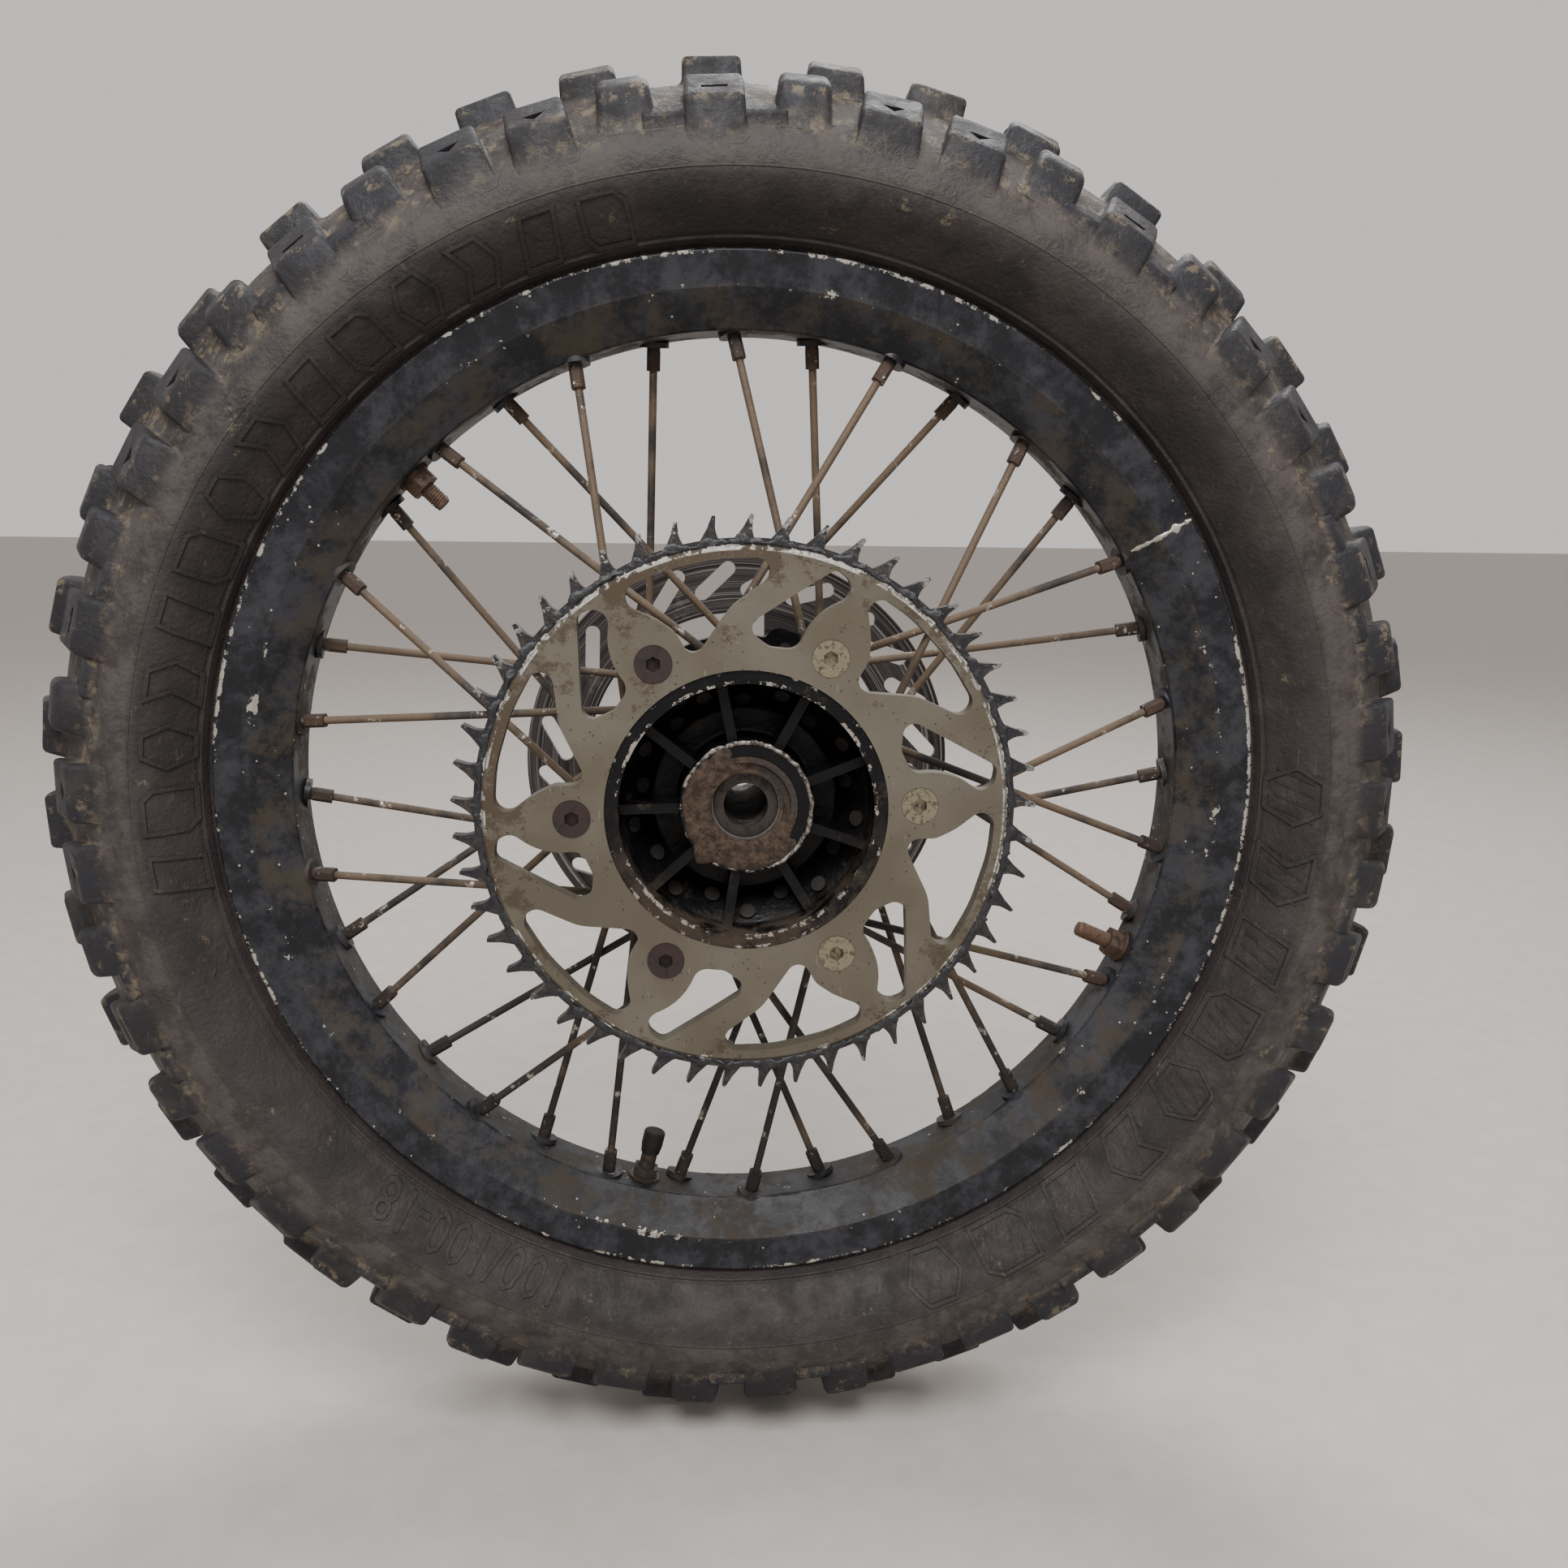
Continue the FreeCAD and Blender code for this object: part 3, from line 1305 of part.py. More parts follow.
def revolve_about_side(body, corners):
    """Turn an outline a full circle about its own first and last corners' line."""
    sketch = new_sketch(body, "XY_Plane")
    add_outline(sketch, corners)
    line = sketch.addGeometry(
        Part.LineSegment(
            Vector(corners[0][0].value, corners[0][1].value, 0),
            Vector(corners[-1][0].value, corners[-1][1].value, 0),
        ),
        True,
    )
    place(sketch, line, 1, corners[0][0], corners[0][1])
    place(sketch, line, 2, corners[-1][0], corners[-1][1])
    feature = add_feature(body, "Revolution", sketch)
    feature.ReferenceAxis = (sketch, ["Axis0"])
    feature.Angle = 360.0
    return feature


def make_bolt_set(name, first_angle, stand_out):
    """Three neighbouring sprocket bolts, countersunk, with hexagon sockets."""
    body = new_body(name)
    spacing = 360.0 / size.sprocket_bolt_count
    circle = bolt_circle_radius
    bolt = revolve_about_side(body, bolt_corners(circle, stand_out))
    socket = new_sketch(body, "XZ_Plane", size.sprocket_face_offset + stand_out)
    add_outline(socket, hexagon(circle, as_size(0.0), size.bolt_socket))
    recess = cut_depth(body, socket, size.bolt_socket_depth)
    repeat(body, [bolt, recess], size.sprocket_bolt_count / 2, 2 * spacing)
    turn_body(body, first_angle - 90.0)
    keep(name, body)


def make_sprocket_fasteners():
    """Dark and plated bolts, and a washer and nut behind each."""
    phase = size.sprocket_bolt_phase
    make_bolt_set("sprocket_bolts_plated", phase, size.plated_bolt_stand_out)
    make_bolt_set("sprocket_bolts_dark", phase + 180.0, size.dark_bolt_stand_out)
    washers = new_body("sprocket_washers")
    sketch = sketch_across(washers, lug_back, size.sprocket_bolt_phase)
    add_circle(sketch, 0.0, bolt_circle_radius, size.washer_diameter / 2)
    add_circle(sketch, 0.0, bolt_circle_radius, size.bolt_diameter / 2)
    washer = pad(washers, sketch, size.washer_thickness, away=True)
    repeat(washers, [washer], size.sprocket_bolt_count)
    keep("sprocket_washers", washers)
    nuts = new_body("sprocket_nuts")
    sketch = sketch_across(nuts, lug_back + size.washer_thickness, size.sprocket_bolt_phase)
    add_outline(sketch, hexagon(as_size(0.0), bolt_circle_radius, size.nut_flats))
    add_circle(sketch, 0.0, bolt_circle_radius, size.bolt_diameter / 2)
    nut = pad(nuts, sketch, size.nut_height, away=True)
    repeat(nuts, [nut], size.sprocket_bolt_count)
    keep("sprocket_nuts", nuts)


# ---------------------------------------------------------------- brake disc


def make_brake_disc():
    """Brake disc: a slotted ring with an ear at every bolt."""
    body = new_body("brake_disc")
    outer = size.disc_diameter / 2
    inner = size.disc_ring_bore / 2
    near = size.disc_seat_offset
    far = near + size.disc_thickness
    revolve(body, [(inner, near), (outer, near), (outer, far), (inner, far)])
    ear_sketch = sketch_across(body, near, size.disc_bolt_phase)
    half_ear = size.disc_ear_width / 2
    half_root = size.disc_ear_root / 2
    bottom = disc_circle_radius - half_ear
    add_outline(
        ear_sketch,
        [
            (-half_root, inner + 2 * NUDGE),
            (-half_ear, bottom, half_ear * EAR_ROUNDING),
            (half_ear, bottom, half_ear * EAR_ROUNDING),
            (half_root, inner + 2 * NUDGE),
        ],
    )
    ear = pad(body, ear_sketch, size.disc_thickness, away=True)
    repeat(body, [ear], size.disc_bolt_count)
    holes = sketch_across(body, near, size.disc_bolt_phase)
    add_circle(holes, 0.0, disc_circle_radius, size.disc_bolt_diameter / 2 + size.bolt_clearance)
    repeat(body, [cut_through(body, holes)], size.disc_bolt_count)
    repeat(body, [cut_through(body, slot_sketch(body, near))], size.disc_slot_count)
    keep("brake_disc", body)


def slot_sketch(body, offset):
    """A round-ended slot, turned from the radius."""
    sketch = sketch_across(body, offset, size.disc_slot_phase)
    middle = size.disc_slot_circle / 2
    half_width = size.disc_slot_width / 2
    half_length = size.disc_slot_length / 2
    across = (cosine(size.disc_slot_turn), -sine(size.disc_slot_turn))
    along = (sine(size.disc_slot_turn), cosine(size.disc_slot_turn))
    corners = [
        (
            along[0] * half_length * end + across[0] * half_width * side,
            middle + along[1] * half_length * end + across[1] * half_width * side,
            half_width * SLOT_ROUNDING,
        )
        for end, side in ((-1, -1), (1, -1), (1, 1), (-1, 1))
    ]
    add_outline(sketch, corners)
    return sketch


def make_disc_bolts():
    """Disc bolts: button heads on the outer face, threaded into the hub's lugs."""
    body = new_body("brake_disc_bolts")
    circle = disc_circle_radius
    face = size.disc_seat_offset + size.disc_thickness
    top = face + size.disc_bolt_head_height
    head = size.disc_bolt_head / 2
    shank = size.disc_bolt_diameter / 2
    bolt = revolve_about_side(
        body,
        [
            (circle, top),
            (circle + head, top, head / 3),
            (circle + head, face),
            (circle + shank, face),
            (circle + shank, face - size.disc_bolt_length),
            (circle, face - size.disc_bolt_length),
        ],
    )
    socket = new_sketch(body, "XZ_Plane", -top)
    add_outline(socket, hexagon(circle, as_size(0.0), size.disc_bolt_socket))
    recess = cut_depth(body, socket, size.disc_bolt_head_height / 2, away=True)
    repeat(body, [bolt, recess], size.disc_bolt_count)
    turn_body(body, size.disc_bolt_phase - 90.0)
    keep("brake_disc_bolts", body)


# ---------------------------------------------------------------- bearings and seals


def ring_outline(inner, outer, first, last):
    """A plain rectangular ring section."""
    return [(inner, first), (outer, first), (outer, last), (inner, last)]


def add_race(body, centre_radius, middle):
    """Groove for the balls, at a radius and an offset."""
    document.recompute()
    before = body.Shape.Volume
    sketch = new_sketch(body, "XY_Plane")
    add_circle(sketch, centre_radius, middle, size.race_radius)
    groove = add_feature(body, "Groove", sketch)
    groove.ReferenceAxis = (sketch, ["V_Axis"])
    groove.Angle = 360.0
    document.recompute()
    require_less(body, before)


def make_bearing(side, prefix):
    """A deep groove ball bearing: two rings, balls, cage and shields."""
    middle = inner_face_of[side] + side * size.bearing_width / 2
    half = size.bearing_width / 2
    first = middle - half
    last = middle + half
    pitch = size.ball_circle / 2
    ball = size.ball_diameter / 2
    bottom_gap = size.race_radius - ball - size.race_gap
    inner = new_body(f"{prefix}_bearing_inner_ring")
    shoulder = size.inner_ring_diameter / 2
    revolve(inner, ring_outline(size.bearing_bore / 2, shoulder, first, last))
    add_race(inner, pitch + bottom_gap, middle)
    keep(f"{prefix}_bearing_inner_ring", inner)
    outer = new_body(f"{prefix}_bearing_outer_ring")
    opening = size.outer_ring_bore / 2
    revolve(outer, ring_outline(opening, bearing_radius, first, last))
    add_race(outer, pitch - bottom_gap, middle)
    keep(f"{prefix}_bearing_outer_ring", outer)
    make_balls(prefix, pitch, middle, ball)
    make_cage(prefix, pitch, middle, ball)
    shields = new_body(f"{prefix}_bearing_shields")
    hole = shoulder + size.shield_gap
    inset = size.shield_inset
    thick = size.shield_thickness
    revolve(shields, ring_outline(hole, opening, first + inset, first + inset + thick))
    revolve(shields, ring_outline(hole, opening, last - inset - thick, last - inset))
    keep(f"{prefix}_bearing_shields", shields)


def make_balls(prefix, pitch, middle, ball):
    """Balls of one bearing."""
    count = round(size.ball_count.value)
    centre = Vector(0, middle.value, pitch.value)
    solids = [
        turned(Part.makeSphere(ball.value, centre), 360.0 * step / count) for step in range(count)
    ]
    name = f"{prefix}_bearing_balls"
    keep(name, by_code(name, Part.makeCompound(solids)))


def make_cage(prefix, pitch, middle, ball):
    """Cage of one bearing: a thin ring with a pocket round each ball."""
    body = new_body(f"{prefix}_bearing_cage")
    half = size.cage_thickness / 2
    width = size.cage_width / 2
    revolve(body, ring_outline(pitch - half, pitch + half, middle - width, middle + width))
    pocket = new_sketch(body, "XY_Plane")
    add_circle(pocket, 0.0, middle, ball + size.cage_gap)
    hole = cut_depth(body, pocket, pitch + 2 * half, away=True)
    repeat(body, [hole], size.ball_count)
    keep(f"{prefix}_bearing_cage", body)


def make_seal(side, prefix):
    """Oil seal in front of a bearing: a case, a web and a lip."""
    body = new_body(f"{prefix}_seal")
    near = inner_face_of[side] + side * (size.bearing_width + size.seal_gap)
    far = near + side * size.seal_width
    web = near + side * size.seal_web
    case = size.seal_case_bore / 2
    lip = size.seal_lip_diameter / 2
    revolve(
        body,
        [
            (lip, near),
            (bearing_radius, near),
            (bearing_radius, far),
            (case, far),
            (case, web),
            (lip, web),
        ],
    )
    keep(f"{prefix}_seal", body)


def make_spacer():
    """Distance tube between the bearings' inner rings."""
    body = new_body("distance_tube")
    revolve(
        body,
        ring_outline(
            size.bearing_bore / 2,
            size.spacer_diameter / 2,
            inner_face_of[DRIVE_SIDE],
            inner_face_of[BRAKE_SIDE],
        ),
    )
    keep("distance_tube", body)


# ---------------------------------------------------------------- rim locks


def seat_under(diameter):
    """Radius of a flat washer's outer face when its edge touches the curved rim."""
    return root(rim_radius * rim_radius - diameter * diameter / 4)


def upright_bar(body, corners):
    """Turn an outline about the Z axis; its corners are (radius, height)."""
    return revolve(body, corners, role="XZ_Plane")


def make_rim_locks():
    """Rim locks: a pad between the tyre beads, pulled down by a stud, washer and nut."""
    lock_washer_top = seat_under(size.lock_washer_diameter)
    nut_top = lock_washer_top - size.lock_washer_thickness
    nut_bottom = nut_top - size.lock_nut_height
    stud = size.lock_stud_diameter / 2
    pad_foot = band_top + size.lock_pad_lift
    pad_top = pad_foot + size.lock_pad_height
    make_lock_pads(pad_foot, pad_top)
    studs = []
    second = size.lock_phase + size.lock_spacing
    for name, reach, angle in (
        ("rim_lock_stud_long", size.lock_long_reach, size.lock_phase),
        ("rim_lock_stud_short", size.lock_short_reach, second),
    ):
        body = new_body(name)
        low = nut_bottom - reach
        high = pad_top - size.lock_stud_sink
        chamfer = low + NUDGE
        upright_bar(
            body, [(0.0, low), (stud - NUDGE, low), (stud, chamfer), (stud, high), (0.0, high)]
        )
        turn_body(body, angle)
        studs.append(body)
    both = document.addObject("Part::Compound", "rim_lock_studs")
    both.Links = studs
    keep("rim_lock_studs", both)
    washers = new_body("rim_lock_washers")
    edge = size.lock_washer_diameter / 2
    section = [(stud, nut_top), (edge, nut_top), (edge, lock_washer_top), (stud, lock_washer_top)]
    washer = upright_bar(washers, section)
    repeat(washers, [washer], size.lock_count, size.lock_spacing)
    turn_body(washers, size.lock_phase)
    keep("rim_lock_washers", washers)
    nuts = new_body("rim_lock_nuts")
    sketch = new_sketch(nuts, "XY_Plane", nut_bottom)
    add_outline(sketch, hexagon(as_size(0.0), as_size(0.0), size.lock_nut_flats))
    add_circle(sketch, 0.0, 0.0, stud)
    nut = pad(nuts, sketch, size.lock_nut_height)
    repeat(nuts, [nut], size.lock_count, size.lock_spacing)
    turn_body(nuts, size.lock_phase)
    keep("rim_lock_nuts", nuts)


def make_lock_pads(foot, top):
    """Pads of the rim locks, curved to the rim, with a hole for the stud."""
    body = new_body("rim_lock_pads")
    sketch = new_sketch(body, "YZ_Plane")
    half_foot = size.lock_pad_foot_width / 2
    half = size.lock_pad_width / 2
    neck = foot + size.lock_pad_height / 2
    add_outline(
        sketch,
        [
            (-half_foot, foot),
            (half_foot, foot),
            (half, neck),
            (half, top),
            (-half, top),
            (-half, neck),
        ],
    )
    block = add_feature(body, "Revolution", sketch)
    block.ReferenceAxis = (sketch, ["H_Axis"])
    block.Angle = size.lock_pad_arc.value
    block.setExpression("Angle", size.lock_pad_arc.formula)
    block.Midplane = True
    hole = new_sketch(body, "XY_Plane")
    add_circle(hole, 0.0, 0.0, size.lock_stud_diameter / 2)
    bore = cut_depth(body, hole, top - size.lock_stud_sink, away=True)
    repeat(body, [block, bore], size.lock_count, size.lock_spacing)
    turn_body(body, size.lock_phase)
    keep("rim_lock_pads", body)


# ---------------------------------------------------------------- valve


def make_valve():
    """Valve: stem with its foot in the tube, washer, nut, core and cap."""
    washer_top = seat_under(size.valve_washer_diameter)
    washer_foot = washer_top - size.valve_washer_thickness
    nut_foot = washer_foot - size.valve_nut_height
    shoulder = nut_foot - size.valve_reach
    mouth = shoulder - size.cap_length + size.cap_crown + NUDGE
    stem_radius = size.valve_diameter / 2
    tube_inside = seat_radius + size.tube_foot_height + size.tube_wall
    foot = tube_inside + NUDGE
    bore = size.valve_bore / 2
    stem = new_body("valve_stem")
    upright_bar(
        stem,
        [
            (bore, mouth),
            (size.valve_neck_diameter / 2, mouth),
            (size.valve_neck_diameter / 2, shoulder),
            (stem_radius, shoulder),
            (stem_radius, foot),
            (size.valve_foot_diameter / 2, foot),
            (size.valve_foot_diameter / 2, foot + size.valve_foot_thickness),
            (bore, foot + size.valve_foot_thickness),
        ],
    )
    washer = new_body("valve_washer")
    edge = size.valve_washer_diameter / 2
    upright_bar(
        washer,
        [
            (stem_radius, washer_foot),
            (edge, washer_top - NUDGE),
            (edge, washer_top),
            (stem_radius, washer_top),
        ],
    )
    nut = new_body("valve_nut")
    sketch = new_sketch(nut, "XY_Plane", nut_foot)
    add_outline(sketch, hexagon(as_size(0.0), as_size(0.0), size.valve_nut_flats))
    add_circle(sketch, 0.0, 0.0, stem_radius)
    pad(nut, sketch, size.valve_nut_height)
    core = new_body("valve_core")
    core_foot = mouth + size.core_sink
    pin = core_foot + size.core_length
    upright_bar(
        core,
        [
            (0.0, core_foot),
            (size.core_diameter / 4, core_foot),
            (size.core_diameter / 4, core_foot + NUDGE),
            (size.core_diameter / 2, core_foot + NUDGE),
            (size.core_diameter / 2, pin),
            (0.0, pin),
        ],
    )
    cap = new_body("valve_cap")
    opening = shoulder - size.cap_gap
    end = opening - size.cap_length
    hollow = size.valve_neck_diameter / 2 + size.cap_clearance
    upright_bar(
        cap,
        [
            (0.0, end),
            (size.cap_diameter / 2, end, size.cap_end_round),
            (size.cap_diameter / 2, end + size.cap_straight_length, size.cap_side_round),
            (size.cap_skirt_diameter / 2, opening),
            (hollow, opening),
            (hollow, end + size.cap_crown),
            (0.0, end + size.cap_crown),
        ],
    )
    for body in (stem, washer, nut, core, cap):
        turn_body(body, size.valve_phase)
        keep(body.Name, body)


# ---------------------------------------------------------------- build, check and write


def build():
    """Make every sub-part."""
    make_tyre()
    make_inner_tube()
    make_rim_band()
    make_rim()
    make_spokes()
    make_nipples()
    make_hub()
    make_sprocket()
    make_sprocket_fasteners()
    make_brake_disc()
    make_disc_bolts()
    for side, prefix in ((DRIVE_SIDE, "drive_side"), (BRAKE_SIDE, "brake_side")):
        make_bearing(side, prefix)
        make_seal(side, prefix)
    make_spacer()
    make_rim_locks()
    make_valve()
    document.recompute()


def check():
    """Stop on any failed object, loose sketch, or node that is empty or not valid."""
    for item in document.Objects:
        if "Invalid" in item.State or "Error" in item.State:
            raise RuntimeError(f"{item.Label} failed: {item.State}")
        if item.TypeId == "Sketcher::SketchObject" and not item.FullyConstrained:
            raise RuntimeError(f"{item.Label} is not fully constrained")
    for name, item in nodes.items():
        if item.Shape.isNull() or not item.Shape.isValid():
            raise RuntimeError(f"{name} has no valid shape")
        if not item.Shape.Solids:
            raise RuntimeError(f"{name} has no solid")


def write():
    """Write each node's shape to its own file."""
    os.makedirs("parts", exist_ok=True)
    for name, item in nodes.items():
        item.Shape.exportStep(f"parts/{name}.step")
        print(f"{name}: {len(item.Shape.Solids)} solids, {item.Shape.Volume:.1f} mm3")


build()
check()
write()
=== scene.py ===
"""Spoked rear wheel of an off-road motorcycle: its tread, grease, threads, seals and finishes."""

import logging
import math
from contextlib import contextmanager
from dataclasses import dataclass, field
from enum import Enum
from typing import Callable, Iterable, Iterator, Sequence

import bpy
from mathutils import Matrix, Vector, noise
from mathutils.bvhtree import BVHTree


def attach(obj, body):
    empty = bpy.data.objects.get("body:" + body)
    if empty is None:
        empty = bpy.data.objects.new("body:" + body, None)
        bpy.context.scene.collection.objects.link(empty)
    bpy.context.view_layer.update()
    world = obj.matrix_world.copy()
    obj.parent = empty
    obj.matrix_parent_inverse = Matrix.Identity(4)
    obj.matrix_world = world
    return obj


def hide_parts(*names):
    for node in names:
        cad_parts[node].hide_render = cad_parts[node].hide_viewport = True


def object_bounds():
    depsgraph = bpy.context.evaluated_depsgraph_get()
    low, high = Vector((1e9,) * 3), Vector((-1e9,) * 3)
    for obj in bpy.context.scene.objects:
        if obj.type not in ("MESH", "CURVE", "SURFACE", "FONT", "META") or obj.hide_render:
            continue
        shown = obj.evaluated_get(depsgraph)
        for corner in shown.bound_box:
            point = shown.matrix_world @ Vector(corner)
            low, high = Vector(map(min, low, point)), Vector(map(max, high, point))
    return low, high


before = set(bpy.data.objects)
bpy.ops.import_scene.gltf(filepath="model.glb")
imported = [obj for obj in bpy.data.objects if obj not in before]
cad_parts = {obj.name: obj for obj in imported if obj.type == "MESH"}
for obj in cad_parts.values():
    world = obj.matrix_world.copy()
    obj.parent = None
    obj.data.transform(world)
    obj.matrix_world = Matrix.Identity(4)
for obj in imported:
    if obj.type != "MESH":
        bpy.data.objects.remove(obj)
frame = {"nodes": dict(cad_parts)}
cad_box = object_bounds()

LOG = logging.getLogger("wheel")
MM = 0.001
FULL_TURN = 2 * math.pi
SEAT_RADIUS = 0.2286
EVEN = (1.0, 1.0, 1.0)
Colour = tuple[float, float, float]
Corner = tuple[float, float, float]
Band = tuple[float, float, float]
Span = tuple[float, float]
Piece = bpy.types.Object
Wire = bpy.types.NodeSocket


class Side(Enum):
    """The two sides of the wheel, as the sign of Y."""

    DRIVE = -1.0
    BRAKE = 1.0


class Mark(Enum):
    """What is moulded into the top of a tread knob."""

    PLAIN = "plain"
    SLOT = "slot"
    PIT = "pit"


def on_wheel(radius: float, degrees: float, offset: float = 0.0) -> Vector:
    """A point by its radius, its angle clockwise from the top, and its offset along the axle.

    Args:
        radius: Distance from the axle, in metres.
        degrees: Angle seen from the drive side.
        offset: Y, in metres.

    Returns:
        The point in the wheel's frame.
    """
    turn = math.radians(degrees)
    return Vector((radius * math.sin(turn), offset, radius * math.cos(turn)))


def rounded(corners: Sequence[Corner], steps: int = 5) -> list[Span]:
    """A closed outline with rounded corners.

    Args:
        corners: Corners as (a, b, radius) in millimetres.
        steps: Segments in each rounding.

    Returns:
        Points of the outline, in millimetres.
    """
    outline: list[Span] = []
    for index, (a, b, radius) in enumerate(corners):
        here = Vector((a, b))
        back = (Vector(corners[index - 1][:2]) - here).normalized()
        ahead = (Vector(corners[(index + 1) % len(corners)][:2]) - here).normalized()
        half = back.angle(ahead) / 2
        if radius <= 0 or half > math.radians(89):
            outline.append((a, b))
            continue
        reach = radius / math.tan(half)
        centre = here + (back + ahead).normalized() * (radius / math.sin(half))
        first, last = here + back * reach - centre, here + ahead * reach - centre
        span = first.angle_signed(last)
        for step in range(steps + 1):
            turn = Matrix.Rotation(-span * step / steps, 2)
            outline.append(tuple(centre + turn @ first))
    return outline


def oval(middle: Span, half: Span, count: int) -> list[Span]:
    """Points of an ellipse.

    Args:
        middle: Its centre as (radius, offset), in metres.
        half: Its half sizes along the same two ways; a negative one runs it backwards.
        count: Number of points.

    Returns:
        The points, as (radius, offset).
    """
    turns = [FULL_TURN * k / count for k in range(count)]
    return [
        (middle[0] + half[0] * math.cos(t), middle[1] + half[1] * math.sin(t)) for t in turns
    ]


class Bench:
    """Moves with Blender's tools that every sub-assembly uses."""

    @staticmethod
    def clear() -> None:
        """Leave edit mode and select nothing."""
        active = bpy.context.object
        if active is not None and active.mode != "OBJECT":
            bpy.ops.object.mode_set(mode="OBJECT")
        bpy.ops.object.select_all(action="DESELECT")

    @staticmethod
    def take(piece: Piece) -> Piece:
        """Select one piece alone and make it active.

        Args:
            piece: The piece to select.

        Returns:
            The same piece.
        """
        Bench.clear()
        piece.select_set(True)
        bpy.context.view_layer.objects.active = piece
        return piece

    @staticmethod
    def new(name: str) -> Piece:
        """Name the primitive that was just added, and fix its place in its mesh.

        Args:
            name: Its name.

        Returns:
            The primitive, as a piece.
        """
        piece = bpy.context.object
        piece.name = name
        bpy.ops.object.transform_apply(location=True, rotation=True, scale=True)
        return piece

    @staticmethod
    @contextmanager
    def editing(piece: Piece) -> Iterator[None]:
        """Edit mode with all of one piece selected, and object mode again after it.

        Args:
            piece: The piece to edit.

        Yields:
            Nothing.
        """
        Bench.take(piece)
        bpy.ops.object.mode_set(mode="EDIT")
        bpy.ops.mesh.select_all(action="SELECT")
        yield
        bpy.ops.object.mode_set(mode="OBJECT")

    @staticmethod
    def ring(name: str, points: Sequence[Span]) -> Piece:
        """A circle reshaped into a closed section, ready to be spun about the axle.

        Args:
            name: Name of the new piece.
            points: Section points as (radius, offset), in metres.

        Returns:
            The new piece, a loop of edges in the YZ plane.
        """
        Bench.clear()
        bpy.ops.mesh.primitive_circle_add(vertices=len(points), radius=1.0)
        piece = Bench.new(name)
        for vertex, (radius, offset) in zip(piece.data.vertices, points):
            vertex.co = (0.0, offset, radius)
        return piece

    @staticmethod
    def spin(piece: Piece, steps: int) -> Piece:
        """Spin a section a full turn about the axle and close its seam.

        Args:
            piece: The piece to work on.
            steps: Segments in the full turn.

        Returns:
            The turned piece.
        """
        with Bench.editing(piece):
            bpy.ops.mesh.spin(
                steps=steps, angle=FULL_TURN, center=(0.0, 0.0, 0.0), axis=(0.0, 1.0, 0.0)
            )
        return Bench.tidy(piece, 1e-5)

    @staticmethod
    def choose_faces(
        piece: Piece, test: Callable[[bpy.types.MeshPolygon], bool]
    ) -> None:
        """Go into edit mode with only the faces that pass a test selected.

        Args:
            piece: The piece to work on.
            test: Says of each one whether it is selected.
        """
        Bench.take(piece)
        bpy.context.tool_settings.mesh_select_mode = (False, False, True)
        mesh = piece.data
        mesh.vertices.foreach_set("select", [False] * len(mesh.vertices))
        mesh.edges.foreach_set("select", [False] * len(mesh.edges))
        mesh.polygons.foreach_set("select", [test(face) for face in mesh.polygons])
        bpy.ops.object.mode_set(mode="EDIT")

    @staticmethod
    def choose_edges(piece: Piece, test: Callable[[bpy.types.MeshEdge], bool]) -> None:
        """Go into edit mode with only the edges that pass a test selected.

        Args:
            piece: The piece to work on.
            test: Says of each one whether it is selected.
        """
        Bench.take(piece)
        bpy.context.tool_settings.mesh_select_mode = (False, True, False)
        mesh = piece.data
        chosen = [test(edge) for edge in mesh.edges]
        picked = {index for edge, yes in zip(mesh.edges, chosen) if yes for index in edge.vertices}
        mesh.vertices.foreach_set("select", [v.index in picked for v in mesh.vertices])
        mesh.polygons.foreach_set("select", [False] * len(mesh.polygons))
        mesh.edges.foreach_set("select", chosen)
        bpy.ops.object.mode_set(mode="EDIT")

    @staticmethod
    def slice(
        piece: Piece, axis: str, places: Iterable[float]
    ) -> Piece:
        """Cut a piece's faces along planes square to an axis, without parting it.

        Args:
            piece: The piece to cut.
            axis: Axis that the planes are square to.
            places: Where the planes are on it, in metres.

        Returns:
            The piece.
        """
        number = "XYZ".index(axis)
        normal = tuple(1.0 if k == number else 0.0 for k in range(3))
        Bench.take(piece)
        bpy.ops.object.mode_set(mode="EDIT")
        for place in places:
            point = tuple(place if k == number else 0.0 for k in range(3))
            bpy.ops.mesh.select_all(action="SELECT")
            bpy.ops.mesh.bisect(plane_co=point, plane_no=normal)
        bpy.ops.object.mode_set(mode="OBJECT")
        return piece

    @staticmethod
    def apply(piece: Piece) -> Piece:
        """Apply every modifier of a piece.

        Args:
            piece: The piece to work on.

        Returns:
            The same piece.
        """
        Bench.take(piece)
        for modifier in list(piece.modifiers):
            bpy.ops.object.modifier_apply(modifier=modifier.name)
        return piece

    @staticmethod
    def tidy(piece: Piece, near: float = 1e-6) -> Piece:
        """Merge doubles and point the faces outwards.

        Args:
            piece: The piece to work on.
            near: Points nearer than this are merged, in metres.

        Returns:
            The same piece.
        """
        with Bench.editing(piece):
            bpy.ops.mesh.remove_doubles(threshold=near)
            bpy.ops.mesh.normals_make_consistent(inside=False)
        return piece

    @staticmethod
    def thicken(piece: Piece, thickness: float, offset: float) -> Piece:
        """Give a sheet its thickness.

        Args:
            piece: The sheet.
            thickness: Thickness, in metres.
            offset: Which side it grows to: -1, 0 or 1.

        Returns:
            The thickened piece.
        """
        thick = piece.modifiers.new("thick", "SOLIDIFY")
        thick.thickness, thick.offset = thickness, offset
        return Bench.apply(piece)

